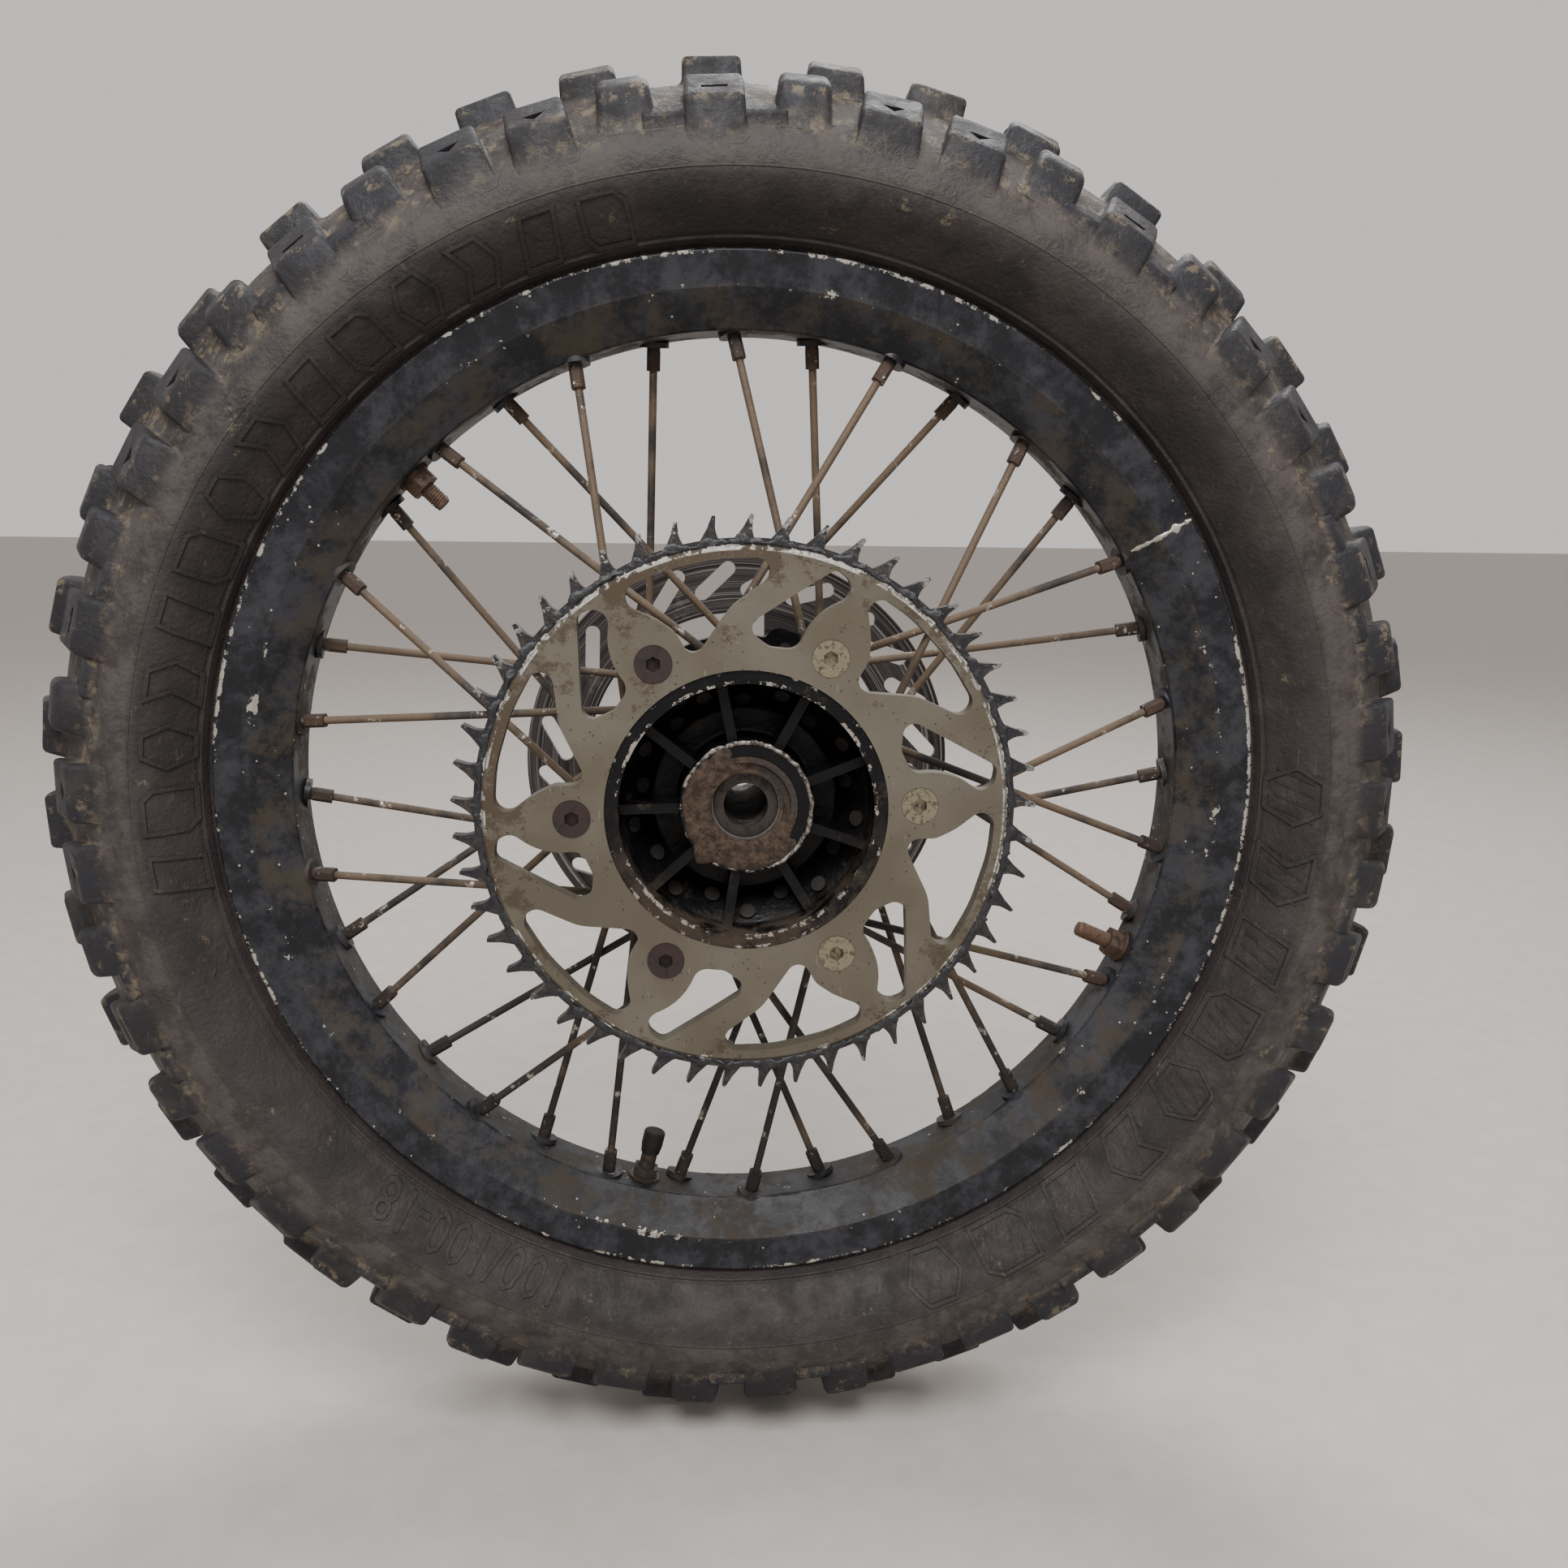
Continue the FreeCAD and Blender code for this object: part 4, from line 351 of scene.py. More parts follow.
    @staticmethod
    def twin(piece: Piece, move: Matrix) -> Piece:
        """A copy of a piece with its own mesh, moved.

        Args:
            piece: The piece to copy.
            move: Where the copy goes.

        Returns:
            The copy.
        """
        other = piece.copy()
        other.data = piece.data.copy()
        other.data.transform(move)
        bpy.context.scene.collection.objects.link(other)
        return other

    @staticmethod
    def copies(piece: Piece, angles: Iterable[float]) -> list[Piece]:
        """Copies of a piece turned about the axle, each with its own mesh; the original goes.

        Args:
            piece: The pattern, modelled at the top of the wheel.
            angles: Angles in degrees, clockwise from the top.

        Returns:
            The copies.
        """
        turns = [Matrix.Rotation(math.radians(angle), 4, "Y") for angle in angles]
        made = [Bench.twin(piece, turn) for turn in turns]
        Bench.remove(piece)
        return made

    @staticmethod
    def mirrored(piece: Piece) -> Piece:
        """A copy of a piece on the other side of the wheel.

        Args:
            piece: The piece to copy.

        Returns:
            The copy.
        """
        other = Bench.twin(piece, Matrix.Scale(-1.0, 4, (0.0, 1.0, 0.0)))
        other.data.flip_normals()
        return other

    @staticmethod
    def remove(piece: Piece) -> None:
        """Delete a helper object."""
        bpy.data.objects.remove(piece, do_unlink=True)

    @staticmethod
    def join(name: str, pieces: Sequence[Piece]) -> Piece:
        """Join several objects into one piece.

        Args:
            name: Name of the new piece.
            pieces: The objects to join; the first one stays.

        Returns:
            The joined piece.
        """
        Bench.clear()
        for piece in pieces:
            piece.select_set(True)
        bpy.context.view_layer.objects.active = pieces[0]
        bpy.ops.object.join()
        joined = bpy.context.object
        joined.name = name
        return joined

    @staticmethod
    def smooth(piece: Piece, degrees: float = 40.0) -> Piece:
        """Shade smooth, with an edge where faces meet at more than an angle.

        Args:
            piece: The piece to work on.
            degrees: Sharpest angle that is still smooth.

        Returns:
            The same piece.
        """
        Bench.take(piece)
        bpy.ops.object.shade_smooth_by_angle(angle=math.radians(degrees))
        return piece

    @staticmethod
    def roughen(piece: Piece, size: float, amount: float) -> Piece:
        """Move every point by smooth noise, for worn and uneven surfaces.

        Args:
            piece: The piece to change.
            size: Size of the unevenness, in metres.
            amount: How far a point may move, in metres.

        Returns:
            The piece.
        """
        for vertex in piece.data.vertices:
            vertex.co += noise.noise_vector(vertex.co / size) * amount
        return piece

    @staticmethod
    def hand_over(
        piece: Piece,
        body: str,
        slot: str,
        finish: "Finish",
        replaces: Sequence[str] = (),
    ) -> None:
        """Dress a piece, make it ride on its body, and hide the CAD nodes that it stands for.

        Args:
            piece: The piece to work on.
            body: Body that it rides on.
            slot: Material slot of the record; not used.
            finish: Finish that it is dressed in.
            replaces: CAD nodes that it stands for.
        """
        piece.data.materials.clear()
        piece.data.materials.append(finish.material())
        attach(piece, body)
        if replaces:
            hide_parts(*replaces)
        LOG.info("%s: %d faces on %s", piece.name, len(piece.data.polygons), body)


# ---------------------------------------------------------------- finishes


class Paint:
    """The node tree of one finish, with short names for what the finishes share."""

    def __init__(self, name: str) -> None:
        """Start a material with a plain shader.

        Args:
            name: Name of the material.
        """
        self.made = bpy.data.materials.new(name)
        self.made.use_nodes = True
        self.nodes = self.made.node_tree.nodes
        self.links = self.made.node_tree.links
        self.shader = self.nodes["Principled BSDF"]
        self.point = self.nodes.new("ShaderNodeTexCoord").outputs["Object"]
        split = self.nodes.new("ShaderNodeSeparateXYZ")
        self.links.new(self.point, split.inputs[0])
        self.x, self.y, self.z = split.outputs
        self.radius = self.calc("SQRT", self.calc("ADD", self.square(self.x), self.square(self.z)))
        self.offset = self.calc("ABSOLUTE", self.y)

    def feed(self, socket: Wire, value: Wire | float | Colour) -> None:
        """Link a wire to a socket, or set the socket to a number or colour.

        Args:
            socket: Socket to feed.
            value: Wire, number or colour to give it.
        """
        if isinstance(value, bpy.types.NodeSocket):
            self.links.new(value, socket)
        elif isinstance(value, tuple) and len(value) == 3 and socket.type == "RGBA":
            socket.default_value = (*value, 1.0)
        else:
            socket.default_value = value

    def calc(self, kind: str, a: Wire | float, b: Wire | float = 0.0) -> Wire:
        """One step of arithmetic.

        Args:
            kind: Kind of arithmetic.
            a: First value.
            b: Second value.

        Returns:
            The result.
        """
        node = self.nodes.new("ShaderNodeMath")
        node.operation = kind
        self.feed(node.inputs[0], a)
        self.feed(node.inputs[1], b)
        return node.outputs[0]

    def square(self, a: Wire) -> Wire:
        """A value times itself."""
        return self.calc("MULTIPLY", a, a)

    def chain(self, kind: str, values: Sequence[Wire | float]) -> Wire:
        """Several values put together from left to right by one kind of arithmetic.

        Args:
            kind: Kind of arithmetic.
            values: Values, from left to right.

        Returns:
            The result.
        """
        result = values[0]
        for value in values[1:]:
            result = self.calc(kind, result, value)
        return result

    def times(self, *values: Wire | float) -> Wire:
        """The product of several values."""
        return self.chain("MULTIPLY", values)

    def plus(self, *values: Wire | float) -> Wire:
        """The sum of several values."""
        return self.chain("ADD", values)

    def over(self, colour: Wire | Colour, coat: Wire | Colour, *shares: Wire | float) -> Wire:
        """A coat laid over a colour, by the product of its shares."""
        return self.mix(self.times(*shares), colour, coat)

    def fade(self, value: Wire, low: float, high: float) -> Wire:
        """0 at low, 1 at high, smooth between; low may be the larger.

        Args:
            value: Wire or number to read.
            low: Value that gives 0.
            high: Value that gives 1.

        Returns:
            The share, from 0 to 1.
        """
        node = self.nodes.new("ShaderNodeMapRange")
        node.interpolation_type = "SMOOTHSTEP"
        self.feed(node.inputs["Value"], value)
        self.feed(node.inputs["From Min"], low)
        self.feed(node.inputs["From Max"], high)
        return node.outputs["Result"]

    def band(self, value: Wire, low: float, high: float, soft: float) -> Wire:
        """1 between two values, fading out beyond them."""
        rise = self.fade(value, low - soft, low)
        return self.calc("MULTIPLY", rise, self.fade(value, high + soft, high))

    def moved(self, point: Wire, shift: Corner, stretch: Corner) -> Wire:
        """A point shifted and stretched, so that two patterns don't fall together.

        Args:
            point: Point that the pattern reads.
            shift: Shift, so that two patterns differ.
            stretch: Stretch along each axis.

        Returns:
            The moved point.
        """
        node = self.nodes.new("ShaderNodeMapping")
        self.feed(node.inputs["Vector"], point)
        node.inputs["Location"].default_value = shift
        node.inputs["Scale"].default_value = stretch
        return node.outputs[0]

    def grain(
        self,
        size: float,
        detail: float = 3.0,
        rough: float = 0.55,
        stretch: Corner = EVEN,
        shift: float = 0.0,
        point: Wire | None = None,
    ) -> Wire:
        """Noise whose features are about a size in metres.

        Args:
            size: Size of one feature, in metres.
            detail: Layers of finer noise.
            rough: How strong the finer layers are.
            stretch: Stretch along each axis.
            shift: Shift, so that two patterns differ.
            point: Point that it reads, if not the piece's own.

        Returns:
            The noise, about 0 to 1.
        """
        place = self.moved(point or self.point, (shift, shift * 0.7, shift * 1.3), stretch)
        node = self.nodes.new("ShaderNodeTexNoise")
        self.feed(node.inputs["Vector"], place)
        node.inputs["Scale"].default_value = 1.0 / size
        node.inputs["Detail"].default_value = detail
        node.inputs["Roughness"].default_value = rough
        return node.outputs[0]

    def specks(self, size: float, share: float, shift: float = 0.0) -> Wire:
        """Small round spots, one per cell of a size; a larger share makes larger spots.

        Args:
            size: Size of one feature, in metres.
            share: Radius of a speck, as a share of its cell.
            shift: Shift, so that two patterns differ.

        Returns:
            1 on a speck and 0 off it.
        """
        node = self.nodes.new("ShaderNodeTexVoronoi")
        place = self.moved(self.point, (shift, shift, shift), EVEN)
        self.feed(node.inputs["Vector"], place)
        node.inputs["Scale"].default_value = 1.0 / size
        return self.fade(node.outputs["Distance"], share, share * 0.6)

    def rings(self, pitch: float, detail: float = 2.0) -> Wire:
        """Uneven concentric lines, as a brake pad leaves.

        Args:
            pitch: Spacing of the lines, in metres.
            detail: Layers of finer noise.

        Returns:
            The noise, about 0 to 1.
        """
        join = self.nodes.new("ShaderNodeCombineXYZ")
        self.feed(join.inputs[0], self.radius)
        self.feed(join.inputs[1], self.times(self.x, 0.004))
        self.feed(join.inputs[2], self.times(self.z, 0.004))
        return self.grain(pitch, detail, 0.7, point=join.outputs[0])

    def mix(self, share: Wire | float, a: Wire | Colour, b: Wire | Colour) -> Wire:
        """Colour a where the share is 0 and b where it is 1.

        Args:
            share: How much of the second one shows, from 0 to 1.
            a: Colour where the share is 0.
            b: Colour where the share is 1.

        Returns:
            The mixed colour.
        """
        node = self.nodes.new("ShaderNodeMix")
        node.data_type = "RGBA"
        self.feed(node.inputs[0], share)
        self.feed(node.inputs[6], a)
        self.feed(node.inputs[7], b)
        return node.outputs[2]

    def blend(self, share: Wire, a: Wire | float, b: Wire | float) -> Wire:
        """Number a where the share is 0 and b where it is 1.

        Args:
            share: How much of the second one shows, from 0 to 1.
            a: Number where the share is 0.
            b: Number where the share is 1.

        Returns:
            The mixed number.
        """
        node = self.nodes.new("ShaderNodeMix")
        self.feed(node.inputs[0], share)
        self.feed(node.inputs[2], a)
        self.feed(node.inputs[3], b)
        return node.outputs[0]

    def attribute(self, name: str) -> Wire:
        """A value painted on the piece's points.

        Args:
            name: Name of the attribute.

        Returns:
            The value.
        """
        node = self.nodes.new("ShaderNodeAttribute")
        node.attribute_name = name
        return node.outputs["Fac"]

    def close(
        self,
        colour: Wire | Colour,
        rough: Wire | float,
        metal: Wire | float,
        height: Wire,
        depth: float,
        gloss: float = 0.5,
    ) -> bpy.types.Material:
        """Wire the finish to the shader.

        Args:
            colour: Base colour.
            rough: Roughness.
            metal: Metallic share.
            height: Bump height, from 0 to 1.
            depth: How deep that bump is, in metres.
            gloss: Specular level, the same all over.

        Returns:
            The finished material.
        """
        self.feed(self.shader.inputs["Base Color"], colour)
        self.feed(self.shader.inputs["Roughness"], rough)
        self.feed(self.shader.inputs["Metallic"], metal)
        self.shader.inputs["Specular IOR Level"].default_value = gloss
        bump = self.nodes.new("ShaderNodeBump")
        bump.inputs["Strength"].default_value = 1.0
        bump.inputs["Distance"].default_value = depth
        self.feed(bump.inputs["Height"], height)
        self.links.new(bump.outputs[0], self.shader.inputs["Normal"])
        return self.made


@dataclass(frozen=True)
class Finish:
    """A finish: its name, and the colours and sizes that its nodes use."""

    name: str

    def material(self) -> bpy.types.Material:
        """The finish's material, made the first time that it is asked for.

        Returns:
            The material.
        """
        label = f"finish_{self.name}"
        made = bpy.data.materials.get(label)
        return made if made else self.build(Paint(label))

    def build(self, paint: Paint) -> bpy.types.Material:
        """Wire the finish's own nodes."""
        raise NotImplementedError


@dataclass(frozen=True)
class TyreRubber(Finish):
    """Worn rubber: cool grey knobs, a warmer side wall, and dried mud in the roots."""

    knob: Colour = (0.0165, 0.0160, 0.0205)
    wall: Colour = (0.031, 0.0245, 0.0235)
    pale: Colour = (0.085, 0.074, 0.068)
    mud: Colour = (0.175, 0.140, 0.088)
    near_black: Colour = (0.014, 0.0125, 0.0125)
    wall_edge: Span = (0.292, 0.280)
    tread_edge: Span = (0.279, 0.290)
    shoulder: Band = (0.2735, 0.310, 0.007)
    carcass: Span = (0.0030, 0.0004)
    root: Span = (0.006, 0.0002)
    knob_top: Span = (0.0068, 0.0092)

    def build(self, paint: Paint) -> bpy.types.Material:
        """Wire the rubber's nodes.

        Args:
            paint: The node tree to wire.

        Returns:
            The finished material.
        """
        broad = paint.grain(0.05, 4.0, 0.6)
        blotch = paint.grain(0.014, 6.0, 0.7, shift=3.0)
        fine = paint.grain(0.0022, 4.0, 0.65)
        lift = paint.attribute("lift")
        low = paint.fade(lift, *self.carcass)
        side = paint.calc("MAXIMUM", paint.fade(paint.radius, *self.wall_edge), low)
        colour = paint.mix(side, self.knob, self.wall)
        dark = paint.fade(paint.plus(broad, paint.times(blotch, 0.4)), 0.60, 0.82)
        colour = paint.over(colour, self.near_black, dark, 0.6)
        shoulder = paint.band(paint.radius, *self.shoulder)
        valley = paint.times(shoulder, low, paint.fade(blotch, 0.36, 0.62))
        colour = paint.over(colour, self.pale, valley, 0.60)
        haze = paint.fade(paint.grain(0.03, 5.0, 0.65, shift=13.0), 0.50, 0.70)
        colour = paint.over(colour, self.pale, haze, 0.22)
        crumbs = paint.grain(0.008, 6.0, 0.75, shift=7.0)
        tread = paint.fade(paint.radius, *self.tread_edge)
        root = paint.times(paint.fade(lift, *self.root), tread)
        colour = paint.over(colour, self.mud, root, paint.fade(crumbs, 0.50, 0.62), 0.60)
        torn = paint.times(paint.fade(lift, *self.knob_top), paint.fade(crumbs, 0.54, 0.60))
        colour = paint.over(colour, self.mud, torn, 0.60)
        stray = paint.fade(paint.grain(0.022, 7.0, 0.8, shift=11.0), 0.625, 0.68)
        colour = paint.over(colour, self.mud, stray, 0.55)
        scuff = paint.fade(paint.grain(0.003, 5.0, 0.7, (1.0, 1.0, 0.25), 5.0), 0.60, 0.70)
        colour = paint.over(colour, self.pale, scuff, 0.40)
        height = paint.plus(paint.times(fine, 0.5), paint.times(blotch, 0.9))
        rough = paint.blend(paint.fade(blotch, 0.35, 0.7), 0.52, 0.80)
        return paint.close(colour, rough, 0.0, height, 0.0011, 0.32)


@dataclass(frozen=True)
class RimPaint(Finish):
    """Blue-black paint, chipped to bare alloy along its edges and stained with dried mud."""

    coat: Colour = (0.0065, 0.0070, 0.0095)
    faded: Colour = (0.030, 0.0305, 0.036)
    mud: Colour = (0.048, 0.037, 0.026)
    bare: Colour = (0.36, 0.335, 0.29)
    slope: Band = (0.2085, 0.2255, 0.003)
    flange: Band = (0.2408, 0.2440, 0.0016)
    fold: Band = (0.2252, 0.2284, 0.0014)
    well_edge: Span = (0.2125, 0.2085)

    def build(self, paint: Paint) -> bpy.types.Material:
        """Wire the paint's nodes.

        Args:
            paint: The node tree to wire.

        Returns:
            The finished material.
        """
        cloud = paint.grain(0.024, 8.0, 0.78)
        ragged = paint.grain(0.006, 6.0, 0.7, shift=2.0)
        colour = paint.mix(paint.fade(cloud, 0.42, 0.62), self.coat, self.faded)
        slope = paint.band(paint.radius, *self.slope)
        splash = paint.fade(paint.grain(0.030, 8.0, 0.78, shift=5.0), 0.46, 0.60)
        stain = paint.times(slope, splash)
        colour = paint.over(colour, self.mud, stain, 0.75)
        film = paint.fade(paint.grain(0.05, 6.0, 0.75, shift=9.0), 0.60, 0.72)
        colour = paint.over(colour, self.mud, film, 0.5)
        reach = paint.grain(0.05, 2.0, 0.5, shift=4.0)
        edge = paint.plus(
            paint.times(paint.band(paint.radius, *self.flange), 0.8),
            paint.times(paint.band(paint.radius, *self.fold), 0.55),
            paint.times(paint.fade(paint.radius, *self.well_edge), 0.45),
        )
        wanted = paint.plus(paint.times(edge, 0.33), paint.times(reach, 0.52))
        chips = paint.fade(paint.plus(ragged, wanted), 1.065, 1.085)
        spots = paint.specks(0.0060, 0.12)
        spots = paint.times(spots, paint.fade(paint.grain(0.03, 2.0, shift=6.0), 0.54, 0.60))
        worn = paint.calc("MAXIMUM", chips, spots)
        colour = paint.over(colour, self.bare, worn)
        rough = paint.blend(worn, paint.blend(stain, 0.42, 0.8), 0.5)
        sound = paint.calc("SUBTRACT", 1.0, worn)
        height = paint.plus(paint.times(sound, 0.8), paint.times(ragged, 0.5))
        return paint.close(colour, rough, paint.times(worn, 0.4), height, 0.00035, 0.3)


@dataclass(frozen=True)
class RustyWire(Finish):
    """Plated wire gone to rust, dirt and grey, with bright places left that are partly painted
    highlight, and painted shade low on the wheel and in the drive-side hub bowl.
    """

    rust: Colour = (0.125, 0.088, 0.058)
    grey: Colour = (0.026, 0.023, 0.022)
    # Pale colour of bare plating, which also serves as painted highlight.
    bright: Colour = (0.50, 0.47, 0.41)
    # Near-black colour, used on the wire as painted shade inside the drive-side hub bowl.
    near_black: Colour = (0.007, 0.006, 0.006)
    bright_share: float = 0.60
    grain_size: float = 0.010
    # Heights over which the wire darkens, as painted shade, towards the bottom of the wheel.
    lower_half: Span = (0.02, -0.20)
    in_bowl: Span = (0.066, 0.060)
    drive_half: Span = (0.0, -0.02)

    def build(self, paint: Paint) -> bpy.types.Material:
        """Wire the nodes.

        Args:
            paint: The node tree to wire.

        Returns:
            The finished material.
        """
        broad = paint.grain(0.045, 4.0, 0.6, shift=2.0)
        patch = paint.grain(self.grain_size, 5.0, 0.7)
        fine = paint.grain(0.0012, 4.0, 0.7, shift=1.0)
        # Painted shade: the wire turns greyer and darker towards the bottom of the wheel, where
        # the light falls off.
        low = paint.fade(paint.z, *self.lower_half)
        darker = paint.plus(broad, paint.times(low, 0.16))
        colour = paint.mix(paint.fade(darker, 0.46, 0.66), self.rust, self.grey)
        # Bright bare places: metallic and smoother below, and their pale colour is partly painted
        # highlight.
        glint = paint.fade(patch, self.bright_share, self.bright_share + 0.07)
        colour = paint.over(colour, self.bright, glint, 0.8)
        colour = paint.over(colour, self.grey, paint.fade(fine, 0.5, 0.75), 0.5)
        # Painted shade: the wire goes near-black in the recess of the drive-side hub bowl.
        bowl = paint.fade(paint.radius, *self.in_bowl)
        bowl = paint.times(bowl, paint.fade(paint.y, *self.drive_half))
        colour = paint.over(colour, self.near_black, bowl, 0.93)
        metal = paint.blend(glint, 0.25, 0.85)
        rough = paint.blend(glint, 0.72, 0.38)
        height = paint.plus(fine, paint.times(patch, 0.6))
        return paint.close(colour, rough, metal, height, 0.0002)


@dataclass(frozen=True)
class HubPaint(Finish):
    """Satin black casting with dust low in the bowl and bare metal at its lips."""

    coat: Colour = (0.0030, 0.0030, 0.0038)
    dust: Colour = (0.052, 0.038, 0.026)
    bare: Colour = (0.34, 0.31, 0.27)
    low: Span = (0.015, -0.05)
    outer: Span = (0.044, 0.058)
    shelf: Span = (0.042, 0.056)
    bowl_lip: tuple[Band, Span] = ((0.0562, 0.0578, 0.0012), (0.061, 0.063))
    seat_lip: tuple[Band, Span] = ((0.0612, 0.0630, 0.0008), (0.063, 0.0645))
    boss_lip: tuple[Band, Span] = ((0.0285, 0.0310, 0.0010), (0.054, 0.0555))

    def build(self, paint: Paint) -> bpy.types.Material:
        """Wire the nodes.

        Args:
            paint: The node tree to wire.

        Returns:
            The finished material.
        """
        cloud = paint.grain(0.014, 5.0, 0.7)
        ragged = paint.grain(0.004, 5.0, 0.7, shift=3.0)
        low = paint.fade(paint.z, *self.low)
        outer = paint.fade(paint.radius, *self.outer)
        shelf = paint.fade(paint.offset, *self.shelf)
        lying = paint.times(low, outer, shelf, paint.fade(cloud, 0.36, 0.60))
        colour = paint.mix(paint.times(lying, 0.8), self.coat, self.dust)
        stain = paint.fade(paint.grain(0.022, 6.0, 0.75, shift=8.0), 0.60, 0.70)
        colour = paint.over(colour, self.dust, stain, 0.55)
        lip, rim, boss = (
            paint.times(paint.band(paint.radius, *ring), paint.fade(paint.offset, *face))
            for ring, face in (self.bowl_lip, self.seat_lip, self.boss_lip)
        )
        edge = paint.plus(lip, paint.times(rim, 0.8), boss)
        wide = paint.times(paint.grain(0.018, 3.0, 0.6, shift=6.0), 0.5)
        edge = paint.plus(paint.times(edge, 0.24), wide)
        chips = paint.fade(paint.plus(ragged, edge), 1.03, 1.06)
        colour = paint.over(colour, self.bare, chips)
        rough = paint.blend(lying, paint.blend(paint.fade(cloud, 0.4, 0.7), 0.30, 0.52), 0.85)
        height = paint.plus(paint.times(ragged, 0.5), cloud)
        return paint.close(colour, rough, paint.times(chips, 0.6), height, 0.0007, 0.22)


@dataclass(frozen=True)
class SprocketAlloy(Finish):
    """Dull anodised plate, a bright step, a greasy tooth ring and bare worn tips; the wear at the
    step and tips is biased upwards as painted highlight.
    """

    plate: Colour = (0.098, 0.085, 0.061)
    pale: Colour = (0.135, 0.121, 0.094)
    dirt: Colour = (0.062, 0.041, 0.024)
    grease: Colour = (0.010, 0.010, 0.014)
    bare: Colour = (0.58, 0.56, 0.52)
    spot: Colour = (0.025, 0.019, 0.014)
    grit: Colour = (0.045, 0.038, 0.032)
    # Pale colour of the worn tooth tips, partly painted highlight.
    worn_tip_and_highlight: Colour = (0.27, 0.265, 0.26)
    upper_left: Span = (0.02, 0.15)
    outer: Span = (0.085, 0.114)
    step: Band = (0.1140, 0.1158, 0.0006)
    tooth_ring: Span = (0.1150, 0.1160)
    # Heights over which the tip wear reaches further down the teeth, as painted highlight.
    tip_heights: Span = (-0.04, 0.05)
    tip_radii: Span = (0.1480, 0.1443)

    def build(self, paint: Paint) -> bpy.types.Material:
        """Wire the nodes.

        Args:
            paint: The node tree to wire.

        Returns:
            The finished material.
        """
        cloud = paint.grain(0.05, 3.0, 0.5)
        ragged = paint.grain(0.0035, 5.0, 0.7, shift=2.0)
        colour = paint.mix(paint.fade(cloud, 0.35, 0.7), self.plate, self.pale)
        corner = paint.fade(paint.calc("SUBTRACT", paint.z, paint.x), *self.upper_left)
        rim = paint.fade(paint.radius, *self.outer)
        share = paint.plus(paint.times(corner, 0.10), paint.times(rim, 0.10))
        muck = paint.plus(paint.grain(0.016, 7.0, 0.78, shift=5.0), share)
        muck = paint.fade(muck, 0.60, 0.72)
        colour = paint.over(colour, self.dirt, muck, 0.75)
        where = paint.grain(0.016, 4.0, shift=4.0)
        speck = paint.times(paint.specks(0.0036, 0.17, 1.0), paint.fade(where, 0.44, 0.56))
        colour = paint.over(colour, self.spot, speck, 0.75)
        scratch = paint.fade(paint.grain(0.0014, 3.0, 0.6, (1.0, 1.0, 0.12), 6.0), 0.67, 0.73)
        colour = paint.over(colour, self.bare, scratch, 0.16)
        step = paint.band(paint.radius, *self.step)
        # Bare wear at the step, biased towards the top of the wheel: partly real wear, partly
        # painted highlight.
        place = paint.grain(0.014, 5.0, 0.7, shift=9.0)
        place = paint.plus(place, paint.times(paint.z, 0.55), paint.times(ragged, 0.25))
        worn = paint.times(step, paint.fade(place, 0.63, 0.68))
        teeth = paint.fade(paint.radius, *self.tooth_ring)
        oily = paint.mix(paint.fade(ragged, 0.40, 0.68), self.grease, self.grit)
        colour = paint.over(colour, oily, teeth)
        colour = paint.over(colour, self.bare, worn)
        # Worn tooth tips: real bare wear, whose reach grows towards the upper right as painted
        # highlight.
        tip = paint.plus(paint.radius, paint.times(ragged, 0.036))
        high = paint.plus(paint.z, paint.times(paint.x, 0.3))
        reach = paint.blend(paint.fade(high, *self.tip_heights), *self.tip_radii)
        tip = paint.fade(paint.calc("SUBTRACT", tip, reach), 0.0, 0.0010)
        colour = paint.over(colour, self.worn_tip_and_highlight, tip)
        shiny = paint.calc("MAXIMUM", tip, worn)
        rough = paint.blend(teeth, paint.blend(muck, 0.52, 0.8), 0.45)
        rough = paint.blend(shiny, rough, 0.35)
        metal = paint.blend(shiny, paint.blend(teeth, 0.35, 0.1), 0.9)
        height = paint.plus(paint.times(ragged, 0.4), paint.times(muck, 0.8))
        return paint.close(colour, rough, metal, height, 0.0003, 0.4)


@dataclass(frozen=True)
class Metal(Finish):
    """A plain metal with its tarnish, spots and fine scratches."""

    base: Colour = (0.5, 0.5, 0.5)
    tarnish: Colour = (0.1, 0.08, 0.06)
    tarnish_from: float = 0.48
    rough: float = 0.4
    metal: float = 0.9
    patch: float = 0.006
    depth: float = 0.00012

    def build(self, paint: Paint) -> bpy.types.Material:
        """Wire the nodes.

        Args:
            paint: The node tree to wire.

        Returns:
            The finished material.
        """
        patch = paint.grain(self.patch, 5.0, 0.7)
        fine = paint.grain(0.0009, 3.0, 0.6, shift=4.0)
        dull = paint.fade(patch, self.tarnish_from, self.tarnish_from + 0.18)
        colour = paint.mix(dull, self.base, self.tarnish)
        colour = paint.over(colour, self.tarnish, paint.fade(fine, 0.55, 0.75), 0.4)
        rough = paint.blend(dull, self.rough, min(self.rough + 0.3, 0.9))
        metal = paint.blend(dull, self.metal, self.metal * 0.4)
        height = paint.plus(paint.times(patch, 0.7), fine)
        return paint.close(colour, rough, metal, height, self.depth)


